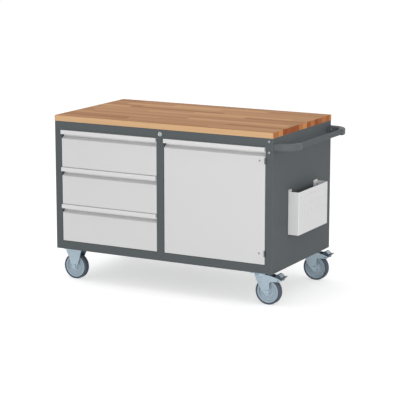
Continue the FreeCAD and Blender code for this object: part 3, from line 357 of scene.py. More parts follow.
    def by_side(self, tree: Tree, edge: Socket, top: Socket, end: Socket) -> Socket:
        """Choose the colour by the side of the worktop that a point lies on; the paler long edges
        are painted light.

        Args:
            tree: node tree of the material.
            edge: colour of the long edges, painted paler for the light on them.
            top: colour of the top and the underside.
            end: colour of the ends.

        Returns:
            The colour of the point.
        """
        towards = add_node(tree, "NewGeometry").outputs["Normal"]
        normal = add_node(tree, "SeparateXYZ", inputs={0: towards})
        colour = edge
        for axis, other in (("Z", top), ("X", end)):
            size = add_node(tree, "Math", {"operation": "ABSOLUTE"}, {0: normal.outputs[axis]})
            limit = {0: size, 1: self.squareness}
            there = add_node(tree, "Math", {"operation": "GREATER_THAN"}, limit)
            tones = {"Factor": there, 6: colour, 7: other}
            colour = add_node(tree, "Mix", {"data_type": "RGBA"}, tones).outputs[2]
        return colour

    @staticmethod
    def grain(tree: Tree, place: Socket, size_mm: tuple[float, float]) -> Node:
        """Noise drawn out along the wood.

        Args:
            tree: node tree of the material.
            place: object coordinates in metres.
            size_mm: length and width of its marks.

        Returns:
            The noise.
        """
        long, wide = (per_metre(size) for size in size_mm)
        drawn = add_node(tree, "Mapping", inputs={"Vector": place, "Scale": (long, wide, wide)})
        return add_node(tree, "TexNoise", inputs={"Vector": drawn, "Scale": 1.0, "Detail": 4.0})


@dataclass(frozen=True)
class PlatedSteel(Finish):
    """Plated or burnished steel: soft rolling marks that cloud its tone and its gloss."""

    metallic: float = 1.0
    patch_mm: float = 8.33333
    # How far the patches take the roughness down and up.
    gloss: tuple[float, float] = (-0.08, 0.1)

    def pattern(self, tree: Tree, place: Socket) -> dict[str, object]:
        """Add a cloudy tone and gloss in patches.

        Args:
            tree: node tree of the material.
            place: object coordinates in metres.

        Returns:
            What feeds the shader's sockets, by their names.
        """
        patches = {"Vector": place, "Scale": per_metre(self.patch_mm), "Detail": 4.0}
        cloud = add_node(tree, "TexNoise", inputs=patches)
        low, high = (self.roughness + change for change in self.gloss)
        gloss = add_node(tree, "MapRange", inputs={"Value": cloud, "To Min": low, "To Max": high})
        return {"Base Color": self.vary(tree, cloud), "Roughness": gloss}


@dataclass(frozen=True)
class MouldedPlastic(Finish):
    """Injection-moulded plastic or rubber with the fine matt grain of an etched mould."""

    # The real grain is finer than half a millimetre; it is drawn coarser so that it shows.
    grain_mm: float = 0.8
    grain_depth_mm: float = 0.05
    grain_strength: float = 0.2

    def pattern(self, tree: Tree, place: Socket) -> dict[str, object]:
        """Add the mould's grain.

        Args:
            tree: node tree of the material.
            place: object coordinates in metres.

        Returns:
            What feeds the shader's sockets, by their names.
        """
        fine = {"Vector": place, "Scale": per_metre(self.grain_mm), "Detail": 2.0}
        grain = add_node(tree, "TexNoise", inputs=fine)
        relief = {"Strength": self.grain_strength, "Distance": self.grain_depth_mm * MM}
        bump = add_node(tree, "Bump", inputs={**relief, "Height": grain})
        return {"Base Color": self.vary(tree, grain), "Normal": bump}


class Coat(Enum):
    """Every finish on the bench, each with what it gives the eye."""

    # Flat dark grey of the folded panels, with hardly any sheen.
    HOUSING = PowderCoat("powder_coat_dark_grey", "#5A5F61", "#565B5D", 0.6, specular=0.1)
    # Even pale grey, with a soft broad sheen on the fronts.
    FRONTS = PowderCoat("powder_coat_light_grey", "#D5D5D5", "#D2D2D2", 0.55, specular=0.25)
    # A touch paler and smoother than the fronts; the paler tone is painted light, lifting the lips
    # and the shaded recesses beneath them.
    GRIPS = PowderCoat("powder_coat_grip_strips", "#DADADA", "#D7D7D7", 0.5, specular=0.3)
    # The palest sheet on the bench, with the fronts' soft sheen.
    SIDE_BOX = PowderCoat("powder_coat_side_box", "#DDDDDD", "#DADADA", 0.55, specular=0.25)
    # Cooler and a little darker than the fronts: painted shade, for sheet that stands inside the
    # bench.
    TRAYS = PowderCoat("powder_coat_tray_grey", "#CFD0D1", "#CACBCC", 0.55, specular=0.25)
    # Warm brown staves of uneven tone, reddish ends, and long edges made paler as painted light;
    # no gloss.
    BEECH = OiledBeech("oiled_beech", "#B48C69", "#9C6E4A", 0.6, specular=0.05)
    # Cool blue-grey metal with soft, slightly cloudy reflections.
    ZINC = PlatedSteel("bright_zinc_plate", "#B0C1CC", "#8E9CA6", 0.32)
    # Duller and greyer metal, as rolled strip comes plated.
    RUNNERS = PlatedSteel("rolled_zinc_runner", "#B9C2C8", "#A3ADB4", 0.4)
    # Dark blue-grey metal with a dull shine; its dark tone is partly painted shade, for the
    # pedals' shaded side walls.
    DARK_STEEL = PlatedSteel("dark_steel_and_painted_shade", "#4C575F", "#3F4950", 0.4)
    # Dark neutral metal that only glints along its knuckles.
    HINGE = PlatedSteel("burnished_steel", "#5A5E62", "#4A4D51", 0.42)
    # Cool pale grey with a faint satin shine on the rims' curves.
    NYLON = MouldedPlastic("grey_nylon", "#AABAC5", "#A4B4BF", 0.45, specular=0.35)
    # Matt blue-grey, much darker than the rims.
    TYRE = MouldedPlastic("grey_rubber", "#545D68", "#4D5661", 0.78, specular=0.2, grain_mm=1.2)
    # Dark grey close to the housing's coat, with a soft sheen round the bends.
    ELBOW = MouldedPlastic("moulded_elbow_grey", "#5A5F62", "#565B5E", 0.52, specular=0.25)
    # Small grey metal points that catch the light on their domes.
    SCREW = PlatedSteel("plated_screw", "#A3A6AA", "#8E9196", 0.42)
    # Small mid-grey domes with a faint highlight and no metal glint.
    RIVET = PowderCoat("painted_rivet", "#8B8D8E", "#838586", 0.5, specular=0.3)
    # Near black: painted shade, so that the shallow key slot reads as a deep slot.
    SLOT_SHADE = MouldedPlastic("slot_shade_black", "#34393D", "#2E3337", 0.5, specular=0.4)
    # Off-white and slightly glossy, in the dark cupboard.
    MAGNET = MouldedPlastic("white_plastic", "#DADBDB", "#D4D5D5", 0.4)
    # Bright neutral metal that softly mirrors what is round it.
    CHROME = PlatedSteel("polished_chrome", "#B4B7B9", "#A6A9AB", 0.2)


# ---------------------------------------------------------------- modelling helpers


def deselect() -> None:
    """Leave edit mode and clear the selection."""
    if bpy.context.object and bpy.context.object.mode != "OBJECT":
        bpy.ops.object.mode_set(mode="OBJECT")
    bpy.ops.object.select_all(action="DESELECT")


def activate(piece: Piece) -> None:
    """Select one piece alone and make it the active one.

    Args:
        piece: mesh object in the scene.
    """
    deselect()
    piece.select_set(True)
    bpy.context.view_layer.objects.active = piece


@contextmanager
def editing(piece: Piece) -> Iterator[None]:
    """Hold a piece in edit mode, with nothing selected at the start.

    Args:
        piece: mesh object to edit.
    """
    activate(piece)
    bpy.ops.object.mode_set(mode="EDIT")
    bpy.ops.mesh.select_mode(type="FACE")
    bpy.ops.mesh.select_all(action="DESELECT")
    yield
    bpy.ops.object.mode_set(mode="OBJECT")


def pick_faces(piece: Piece, wanted: Callable[[bmesh.types.BMFace], bool]) -> None:
    """Select the faces of the piece in edit mode that pass a test.

    Args:
        piece: mesh object in edit mode.
        wanted: test of a face.
    """
    bpy.ops.mesh.select_mode(type="FACE")
    bpy.ops.mesh.select_all(action="DESELECT")
    mesh = bmesh.from_edit_mesh(piece.data)
    for face in mesh.faces:
        if wanted(face):
            face.select = True
    mesh.select_flush_mode()
    bmesh.update_edit_mesh(piece.data)


def pick_long_edges(piece: Piece, least: float) -> None:
    """Select the edges of the piece in edit mode that run along X.

    Args:
        piece: mesh object in edit mode.
        least: how far along X an edge has to go, in metres.
    """
    bpy.ops.mesh.select_mode(type="EDGE")
    mesh = bmesh.from_edit_mesh(piece.data)
    for edge in mesh.edges:
        edge.select = abs(edge.verts[1].co.x - edge.verts[0].co.x) > least
    bmesh.update_edit_mesh(piece.data)


def cap_faces(piece: Piece, height: float, up: bool = True) -> None:
    """Select the flat faces of the piece in edit mode that look up or down at a height.

    Args:
        piece: mesh object in edit mode.
        height: Z of the faces in metres.
        up: whether they look up.
    """
    sign = 1 if up else -1
    pick_faces(
        piece,
        lambda face: face.normal.z * sign > SQUARE
        and abs(face.calc_center_median().z - height) < MM / 50,
    )


def ring_steps(steps: Steps) -> None:
    """Inset the selected face again and again, and lift each new face.

    Args:
        steps: how far in and how far up each step goes, in millimetres.
    """
    for inward, rise in steps:
        bpy.ops.mesh.inset(thickness=inward * MM, depth=0)
        bpy.ops.transform.translate(value=(0, 0, rise * MM))


def draw_out(x: float = 0.0, y: float = 0.0, z: float = 0.0) -> None:
    """Extrude the selected faces by a distance along each axis, in metres."""
    bpy.ops.mesh.extrude_region_move(TRANSFORM_OT_translate={"value": (x, y, z)})


def face_outwards() -> None:
    """Turn all faces of the piece in edit mode outwards."""
    bpy.ops.mesh.select_all(action="SELECT")
    bpy.ops.mesh.normals_make_consistent(inside=False)


def settle(piece: Piece) -> Piece:
    """Apply modifiers and placement, so that the piece's place is in its mesh.

    Args:
        piece: mesh object.

    Returns:
        The same object, with its flatter edges shaded smooth.
    """
    activate(piece)
    for modifier in list(piece.modifiers):
        bpy.ops.object.modifier_apply(modifier=modifier.name)
    bpy.ops.object.transform_apply(location=True, rotation=True, scale=True)
    bpy.ops.object.shade_smooth_by_angle(angle=math.radians(SMOOTH_DEGREES))
    piece.select_set(False)
    return piece


def join(pieces: list[Piece], name: str) -> Piece:
    """Join pieces into one.

    Args:
        pieces: mesh objects, one or more.
        name: name of the joined piece.

    Returns:
        The joined piece.
    """
    joined = pieces[0]
    activate(joined)
    for piece in pieces:
        piece.select_set(True)
    if len(pieces) > 1:
        bpy.ops.object.join()
    joined.name = name
    joined.data.name = name
    joined.select_set(False)
    return joined


def stamp(master: Piece, name: str, places: Iterable[Matrix]) -> Piece:
    """Copy a settled piece to several places and join the copies into one piece.

    Args:
        master: piece modelled about the origin; it is removed.
        name: name of the joined piece.
        places: placement of each copy.

    Returns:
        The joined piece.
    """
    copies = []
    for place in places:
        copy = master.copy()
        copy.data = master.data.copy()
        copy.data.transform(place)
        bpy.context.scene.collection.objects.link(copy)
        copies.append(copy)
    bpy.data.objects.remove(master)
    return join(copies, name)


def carve(piece: Piece, tool: Piece, operation: str = "DIFFERENCE") -> None:
    """Cut a piece with a tool, which is then removed.

    Args:
        piece: mesh object to cut.
        tool: mesh object that cuts it.
        operation: DIFFERENCE to take the tool away, INTERSECT to keep what lies inside it.
    """
    modifier = piece.modifiers.new("carve", "BOOLEAN")
    modifier.operation = operation
    modifier.object = tool
    activate(piece)
    bpy.ops.object.modifier_apply(modifier=modifier.name)
    bpy.data.objects.remove(tool)


def disc(radius: float, low: float, high: float, sides: int = 32) -> Piece:
    """Round blank about Z between two heights.

    Args:
        radius: its radius in metres.
        low: height of its underside.
        high: height of its top.
        sides: corners of its outline.

    Returns:
        The blank, with its place in its mesh.
    """
    deselect()
    bpy.ops.mesh.primitive_cylinder_add(
        vertices=sides, radius=radius, depth=high - low, location=(0, 0, (low + high) / 2)
    )
    bpy.ops.object.transform_apply(location=True, rotation=True, scale=True)
    return bpy.context.object


def block(size: tuple[float, float, float], place: tuple[float, float, float]) -> Piece:
    """Rectangular blank with its middle at a place.

    Args:
        size: its lengths along X, Y and Z in metres.
        place: its middle.

    Returns:
        The blank, with its place in its mesh.
    """
    deselect()
    bpy.ops.mesh.primitive_cube_add(size=1, location=place, scale=size)
    bpy.ops.object.transform_apply(location=True, rotation=True, scale=True)
    return bpy.context.object


def hexagon(radius: float, height: float) -> Piece:
    """Hexagon that stands on Z 0, with the corners of its top turned off at 30 degrees.

    Args:
        radius: middle to corner, in metres.
        height: its height.

    Returns:
        The hexagon, with its place in its mesh.
    """
    blank = disc(radius, 0, height, sides=6)
    # The turned top is a little smaller than the distance to a flat.
    top = radius * math.cos(math.radians(30)) * 0.97
    slope = math.tan(math.radians(60))
    low, high = -MM, height + MM
    deselect()
    bpy.ops.mesh.primitive_cone_add(
        vertices=48,
        radius1=top + (height - low) * slope,
        radius2=top - (high - height) * slope,
        depth=high - low,
        location=(0, 0, (low + high) / 2),
    )
    carve(blank, bpy.context.object, "INTERSECT")
    return blank


def solids(node: Piece) -> list[tuple[Vector, Vector]]:
    """Boxes of a CAD node's separate solids.

    Args:
        node: CAD node, whose mesh is only read.

    Returns:
        Lowest and highest corner of each solid, sorted by the lowest.
    """
    mesh = bmesh.new()
    mesh.from_mesh(node.data)
    bmesh.ops.remove_doubles(mesh, verts=mesh.verts, dist=MM / 100)
    left = set(mesh.verts)
    boxes = []
    while left:
        seen = [left.pop()]
        for vert in seen:
            near = {edge.other_vert(vert) for edge in vert.link_edges} & left
            left -= near
            seen.extend(near)
        low = Vector([min(vert.co[k] for vert in seen) for k in range(3)])
        high = Vector([max(vert.co[k] for vert in seen) for k in range(3)])
        boxes.append((low, high))
    mesh.free()
    return sorted(boxes, key=lambda box: [round(value, 4) for value in box[0]])


def facing(place: Iterable[float], axis: str, turn: float = 0.0) -> Matrix:
    """Placement that points a piece's own Z along an axis of the bench.

    Args:
        place: point in metres.
        axis: one of +X, -X, +Y, -Y, +Z and -Z.
        turn: turn about the piece's own Z first, in degrees.

    Returns:
        The placement.
    """
    towards = Vector((0, 0, 0))
    towards["XYZ".index(axis[1])] = 1 if axis[0] == "+" else -1
    aim = Vector((0, 0, 1)).rotation_difference(towards).to_matrix().to_4x4()
    return Matrix.Translation(Vector(place)) @ aim @ Matrix.Rotation(math.radians(turn), 4, "Z")


def finish_piece(piece: Piece, coat: Coat, body: str) -> Piece:
    """Dress a new piece and let it ride on its body.

    Args:
        piece: settled piece.
        coat: its finish.
        body: CAD body that it moves with.

    Returns:
        The same object.
    """
    piece.data.materials.clear()
    piece.data.materials.append(coat.value.material())
    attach(piece, body)
    LOG.info("piece %s rides on %s, %d faces", piece.name, body, len(piece.data.polygons))
    return piece


def dress_nodes(nodes: dict[str, Piece], coat: Coat, names: Iterable[str]) -> None:
    """Give CAD nodes a finish.

    Args:
        nodes: CAD nodes by name.
        coat: finish to give.
        names: starts of the nodes' names.
    """
    for name, node in nodes.items():
        if name.startswith(tuple(names)):
            node.data.materials.clear()
            node.data.materials.append(coat.value.material())
            LOG.info("node %s dressed in %s", name, coat.name.lower())


# ---------------------------------------------------------------- sub-assemblies


@dataclass
class Housing:
    """Folded steel housing, its worktop and the cupboard's shelf."""

    nodes: dict[str, Piece]

    def dress(self) -> None:
        """Finish the housing's own panels, the worktop and what is inside."""
        panels = (
            "side_panel",
            "back_panel",
            "base_pan",
            "top_front_rail",
            "centre_partition",
            "runner_uprights",
            "shelf",
            "handle_",
        )
        dress_nodes(self.nodes, Coat.HOUSING, panels)
        dress_nodes(self.nodes, Coat.BEECH, ("worktop",))
        dress_nodes(self.nodes, Coat.MAGNET, ("door_catch",))


@dataclass
class Fronts:
    """Drawers, door and their hardware."""

    nodes: dict[str, Piece]

    def dress(self) -> None:
        """Finish the fronts, trays, runners, hinges and the lock."""
        runners = ("runner_cabinet", "runner_middle", "runner_drawer")
        small_parts = ("shelf_clips", "lock_bar", "lock_cam", "pan_head")
        dress_nodes(self.nodes, Coat.FRONTS, ("drawer_front", "door_panel"))
        # The grips' paler coat is painted light.
        dress_nodes(self.nodes, Coat.GRIPS, ("drawer_grip", "door_grip"))
        dress_nodes(self.nodes, Coat.SIDE_BOX, ("side_box",))
        # The trays' darker coat is painted shade.
        dress_nodes(self.nodes, Coat.TRAYS, ("drawer_tray",))
        dress_nodes(self.nodes, Coat.RUNNERS, runners)
        dress_nodes(self.nodes, Coat.HINGE, ("hinge_",))
        dress_nodes(self.nodes, Coat.ZINC, small_parts)
        dress_nodes(self.nodes, Coat.CHROME, ("lock_barrel", "lock_rotor"))


@dataclass
class PushHandle:
    """Tube across the right end between two moulded elbows, each with its set screw."""

    # The elbow's width and height, its rounded edges, and its arms' distance from the sides.
    arm: tuple[float, float] = (31 * MM, 34 * MM)
    rounding: float = 6 * MM
    rounding_steps: int = 5
    inset: float = 20 * MM
    # Its first block, and how far the block's middle lies behind the panel's face.
    root: float = 8 * MM
    root_sunk: float = 3 * MM
    # The bend's radius, its steps and what each leaves of the section; the sleeve's length.
    bend: float = 58 * MM
    turn_steps: int = 16
    taper: float = 0.992
    sleeve: float = 16 * MM
    # Share of the sleeve's length, then what is left of its width and height there.
    sleeve_steps: tuple[tuple[float, float, float], ...] = ((0.85, 0.98, 0.95), (0.15, 0.96, 0.96))
    # Depth of the sleeve's mouth, whose wall is a third of that.
    collar: float = 2.2 * MM
    # The tube's ends, which the elbows hide: their rim and how deep they are hollow.
    rim: float = 2 * MM
    hollow: float = 6 * MM
    # The set screw: its distance from the panel, its size, and how deep and proud it sits.
    screw_out: float = 15.5 * MM
    screw_radius: float = 4 * MM
    screw_body: tuple[float, float] = (-2 * MM, 0.8 * MM)
    screw_dome: Steps = ((0.5, 0.4), (0.8, 0.15))
    socket_radius: float = 1.8 * MM
    # Height of the cutting tool, well past the screw's top.
    socket_cut: float = 4 * MM

    def build(self) -> None:
        """Make the elbows, the tube and the set screws."""
        low, high = (Vector(corner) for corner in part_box("handle_tube"))
        axis = (low + high) / 2
        wall_low, wall_high = (Vector(corner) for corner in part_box("side_panel_right"))
        arms = (wall_low.y + self.inset, wall_high.y - self.inset)
        middle = (arms[0] + arms[1]) / 2
        mirror = Matrix.Translation((0, 2 * middle, 0)) @ Matrix.Scale(-1, 4, Vector((0, 1, 0)))
        front = self.elbow(wall_high.x, arms[0], axis)
        elbows = stamp(front, "handle_elbows", [Matrix.Identity(4), mirror])
        with editing(elbows):
            face_outwards()
        finish_piece(settle(elbows), Coat.ELBOW, "cabinet")
        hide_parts("handle_sockets")

        ends = (arms[0] + self.bend + self.sleeve / 4, arms[1] - self.bend - self.sleeve / 4)
        tube = disc((high.x - low.x) / 2, ends[0], ends[1], sides=64)
        with editing(tube):
            for end, up, inward in ((ends[0], False, self.hollow), (ends[1], True, -self.hollow)):
                cap_faces(tube, end, up)
                bpy.ops.mesh.inset(thickness=self.rim, depth=0)
                draw_out(z=inward)
        settle(tube)
        lay = Matrix.Translation((axis.x, 0, axis.z)) @ Matrix.Rotation(math.radians(-90), 4, "X")
        tube = stamp(tube, "handle_grip_tube", [lay])
        finish_piece(tube, Coat.HOUSING, "cabinet")
        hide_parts("handle_tube")
        self.set_screws(wall_high.x, arms, axis.z)

    def elbow(self, wall: float, middle: float, axis: Vector) -> Piece:
        """Front elbow, from the side panel round to the tube.

        Args:
            wall: X of the side panel's outer face.
            middle: Y of the arm's middle.
            axis: middle of the tube.

        Returns:
            The elbow.
        """
        start, turn = wall - self.root_sunk, axis.x - self.bend
        piece = block((self.root, *self.arm), (start, middle, axis.z))
        with editing(piece):
            pick_long_edges(piece, MM)
            bpy.ops.mesh.bevel(offset=self.rounding, segments=self.rounding_steps, affect="EDGES")
            pick_faces(piece, lambda face: face.normal.x > SQUARE)
            draw_out(x=turn - start - self.root / 2)
            for _ in range(self.turn_steps):
                draw_out()
                bpy.ops.transform.rotate(
                    value=math.radians(-90) / self.turn_steps,
                    orient_axis="Z",
                    center_override=(turn, middle + self.bend, axis.z),
                )
                bpy.ops.transform.resize(value=(self.taper,) * 3)
            for share, across, up in self.sleeve_steps:
                draw_out(y=self.sleeve * share)
                bpy.ops.transform.resize(value=(across, 1, up))
            bpy.ops.mesh.inset(thickness=self.collar / 3, depth=0)
            draw_out(y=-self.collar)
            face_outwards()
        return settle(piece)

    def set_screws(self, wall: float, arms: tuple[float, float], level: float) -> None:
        """Socket set screws in the elbows' inner faces, close to the side panel.

        Args:
            wall: X of the side panel's outer face.
            arms: Y of the arms' middles, front and rear.
            level: height of the tube's axis.
        """
        low, high = self.screw_body
        screw = disc(self.screw_radius, low, high, sides=24)
        with editing(screw):
            cap_faces(screw, high)
            ring_steps(self.screw_dome)
        carve(screw, disc(self.socket_radius, 0, self.socket_cut, sides=6))
        settle(screw)
        x, across = wall + self.screw_out, self.arm[0] / 2
        places = [
            facing((x, arms[0] + across, level), "+Y"),
            facing((x, arms[1] - across, level), "-Y"),
        ]
        finish_piece(stamp(screw, "elbow_set_screws", places), Coat.SCREW, "cabinet")


@dataclass
class Fixings:
    """Pan-head screws, the door's rivets and the lock's visible face."""

    nodes: dict[str, Piece]
    head_radius: float = 6 * MM
    head_height: float = 3 * MM
    head_dome: Steps = ((0.5, 0.6), (0.9, 0.5), (1.4, 0.3), (1.5, 0.1))
    shank_radius: float = 3 * MM
    tip: float = 0.5 * MM
    tip_scale: float = 0.8
    recess: tuple[float, float] = (5.6 * MM, 1.3 * MM)
    recess_depth: float = 1.7 * MM
    # Degrees from one screw's cross to the next, so that no two stand alike.
    screw_turn: float = 25.0
    rivet_radius: float = 4.4 * MM
    rivet_edge: float = 0.5 * MM
    rivet_dome: Steps = ((0.4, 0.5), (0.9, 0.45), (1.3, 0.25), (1.2, 0.05))
    rivet_inset: float = 29 * MM
    # The bezel: its radius, its body behind and before the lock's face, its turned rings.
    bezel_radius: float = 10.6 * MM
    bezel_body: tuple[float, float] = (-1.9 * MM, 0.3 * MM)
    bezel_rings: Steps = ((0.5, 0.5), (0.5, 0.2), (1.4, 0.0), (0.9, -0.5))
    rotor_radius: float = 6.0 * MM
    rotor_gap: float = 0.3 * MM
    rotor_cut: float = 3 * MM
    # The key slot's width and height, and the dark sheet of painted shade that fills it behind the
    # face.
    slot: tuple[float, float] = (1.6 * MM, 8 * MM)
    slot_gap: float = 0.1 * MM
    slot_shade: tuple[float, float] = (-2.8 * MM, -0.8 * MM)
    slot_shade_dish: Steps = ((0.3, -0.3),)

    def build(self) -> None:
        """Make the screws, rivets and lock face."""
        self.set_screws()
        self.set_rivets()
        self.face_lock()

    def set_screws(self) -> None:
        """Domed pan-head screws with a cross recess, in place of the plain ones."""
        boxes = solids(self.nodes["pan_head_screws"])
        length = max(boxes[0][1] - boxes[0][0])
        screw = disc(self.head_radius, -self.head_height, -self.head_height / 2)
        with editing(screw):
            cap_faces(screw, -self.head_height / 2)
            ring_steps(self.head_dome)
            cap_faces(screw, -self.head_height, up=False)
            bpy.ops.mesh.inset(thickness=self.head_radius - self.shank_radius, depth=0)
            draw_out(z=self.head_height + self.tip - length)
            draw_out(z=-self.tip)
            bpy.ops.transform.resize(value=(self.tip_scale, self.tip_scale, 1))
        for size in (self.recess, self.recess[::-1]):
            carve(screw, block((*size, 2 * self.recess_depth), (0, 0, 0)))
        settle(screw)
        places = []
        for count, (low, high) in enumerate(boxes):
            size = high - low
            axis = max(range(3), key=lambda k: size[k])
            middle = (low + high) / 2
            outward = axis < 2 and middle[axis] > 0
            middle[axis] = high[axis] if outward else low[axis]
            way = ("+" if outward else "-") + "XYZ"[axis]
            places.append(facing(middle, way, self.screw_turn * count))
        piece = finish_piece(stamp(screw, "cross_screws", places), Coat.SCREW, "cabinet")
        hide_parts("pan_head_screws")

    def set_rivets(self) -> None:
        """Low domed heads over the rivets that hold the hinges to the door."""
        dome = disc(self.rivet_radius, 0, self.rivet_edge)
        with editing(dome):
            cap_faces(dome, self.rivet_edge)
            ring_steps(self.rivet_dome)
        settle(dome)
        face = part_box("door_panel")[0][1]
        places = []
        for low, high in solids(self.nodes["hinge_pins"]):
            middle = (low + high) / 2
            places.append(facing((middle.x - self.rivet_inset, face, middle.z), "-Y"))
        finish_piece(stamp(dome, "hinge_rivets", places), Coat.RIVET, "door")

    def face_lock(self) -> None:
        """Turned bezel round the lock and a dark sheet of painted shade in its key slot."""
        low, high = (Vector(corner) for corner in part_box("lock_rotor"))
        middle, face = (low + high) / 2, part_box("lock_barrel")[0][1]
        back, front = self.bezel_body
        bezel = disc(self.bezel_radius, back, front, sides=48)
        with editing(bezel):
            cap_faces(bezel, front)
            ring_steps(self.bezel_rings)
        hole = self.rotor_radius + self.rotor_gap
        carve(bezel, disc(hole, -self.rotor_cut, self.rotor_cut, sides=48))
        settle(bezel)
        at_face = [facing((middle.x, face, middle.z), "-Y")]
        finish_piece(stamp(bezel, "lock_bezel", at_face), Coat.CHROME, "cabinet")

        # The key slot is filled with a near-black sheet: painted shade for the depth of the
        # keyway.
        wide, tall = (size - self.slot_gap for size in self.slot)
        back, front = self.slot_shade
        slot_shade = block((wide, tall, front - back), (0, 0, (back + front) / 2))
        with editing(slot_shade):
            cap_faces(slot_shade, front)
            ring_steps(self.slot_shade_dish)
        settle(slot_shade)
        piece = stamp(slot_shade, "key_slot_painted_shade", at_face)
        finish_piece(piece, Coat.SLOT_SHADE, "lock_key_way")


@dataclass(frozen=True)
class HexBolt:
    """Hex bolt along Z, its head down on 0 and a self-locking nut at its other end."""

    corner: float
    height: float
    radius: float
    dish: Steps
    # How far the shank goes into the head and the nut.
    overlap: float
    sides: int
    # Nut: turned face by the corner's radius; collar, lip and groove by the stud's radius.
    nut_face: float = 0.84
    nut_collar: float = 1.22
    nut_lip: float = 0.16
    nut_groove: float = 0.1

    def build(self, grip: float) -> Piece:
        """Make the head, the shank and the nut as one piece.

        Args:
            grip: what the bolt clamps between head and nut, in metres.

        Returns:
            The bolt.
        """
        low, high = self.height, self.height + grip
        shank = disc(self.radius, low - self.overlap, high + self.overlap, self.sides)
        return settle(join([self.head(), shank, self.nut(high)], "bolt"))

    def head(self) -> Piece:
        """Hexagon head that looks down, with its dished face.

        Returns:
            The head.
        """
        piece = hexagon(self.corner, self.height)
        with editing(piece):
            cap_faces(piece, self.height)
            ring_steps(self.dish)
        turned = Matrix.Rotation(math.pi, 4, "X")
        piece.data.transform(turned @ Matrix.Translation((0, 0, -self.height)))
        return piece

    def nut(self, place: float) -> Piece:
        """Nut with its plastic collar and the stud's end.

        Args:
            place: Z that it stands on.

        Returns:
            The nut.
        """
        piece = hexagon(self.corner, self.height)
        face = (self.corner * self.nut_face - self.radius * self.nut_collar) / MM
        lip, groove = (self.radius * share / MM for share in (self.nut_lip, self.nut_groove))
        with editing(piece):
            cap_faces(piece, self.height)
            # The collar rises and is rounded in; the stud stands in it with a chamfered end.
            ring_steps(((face, 0.0), (0.2, 0.9), (lip, 0.3)))
            ring_steps(((groove, -0.9), (0.1, 1.4), (0.5, 0.4)))
        piece.data.transform(Matrix.Translation((0, 0, place)))
        return piece


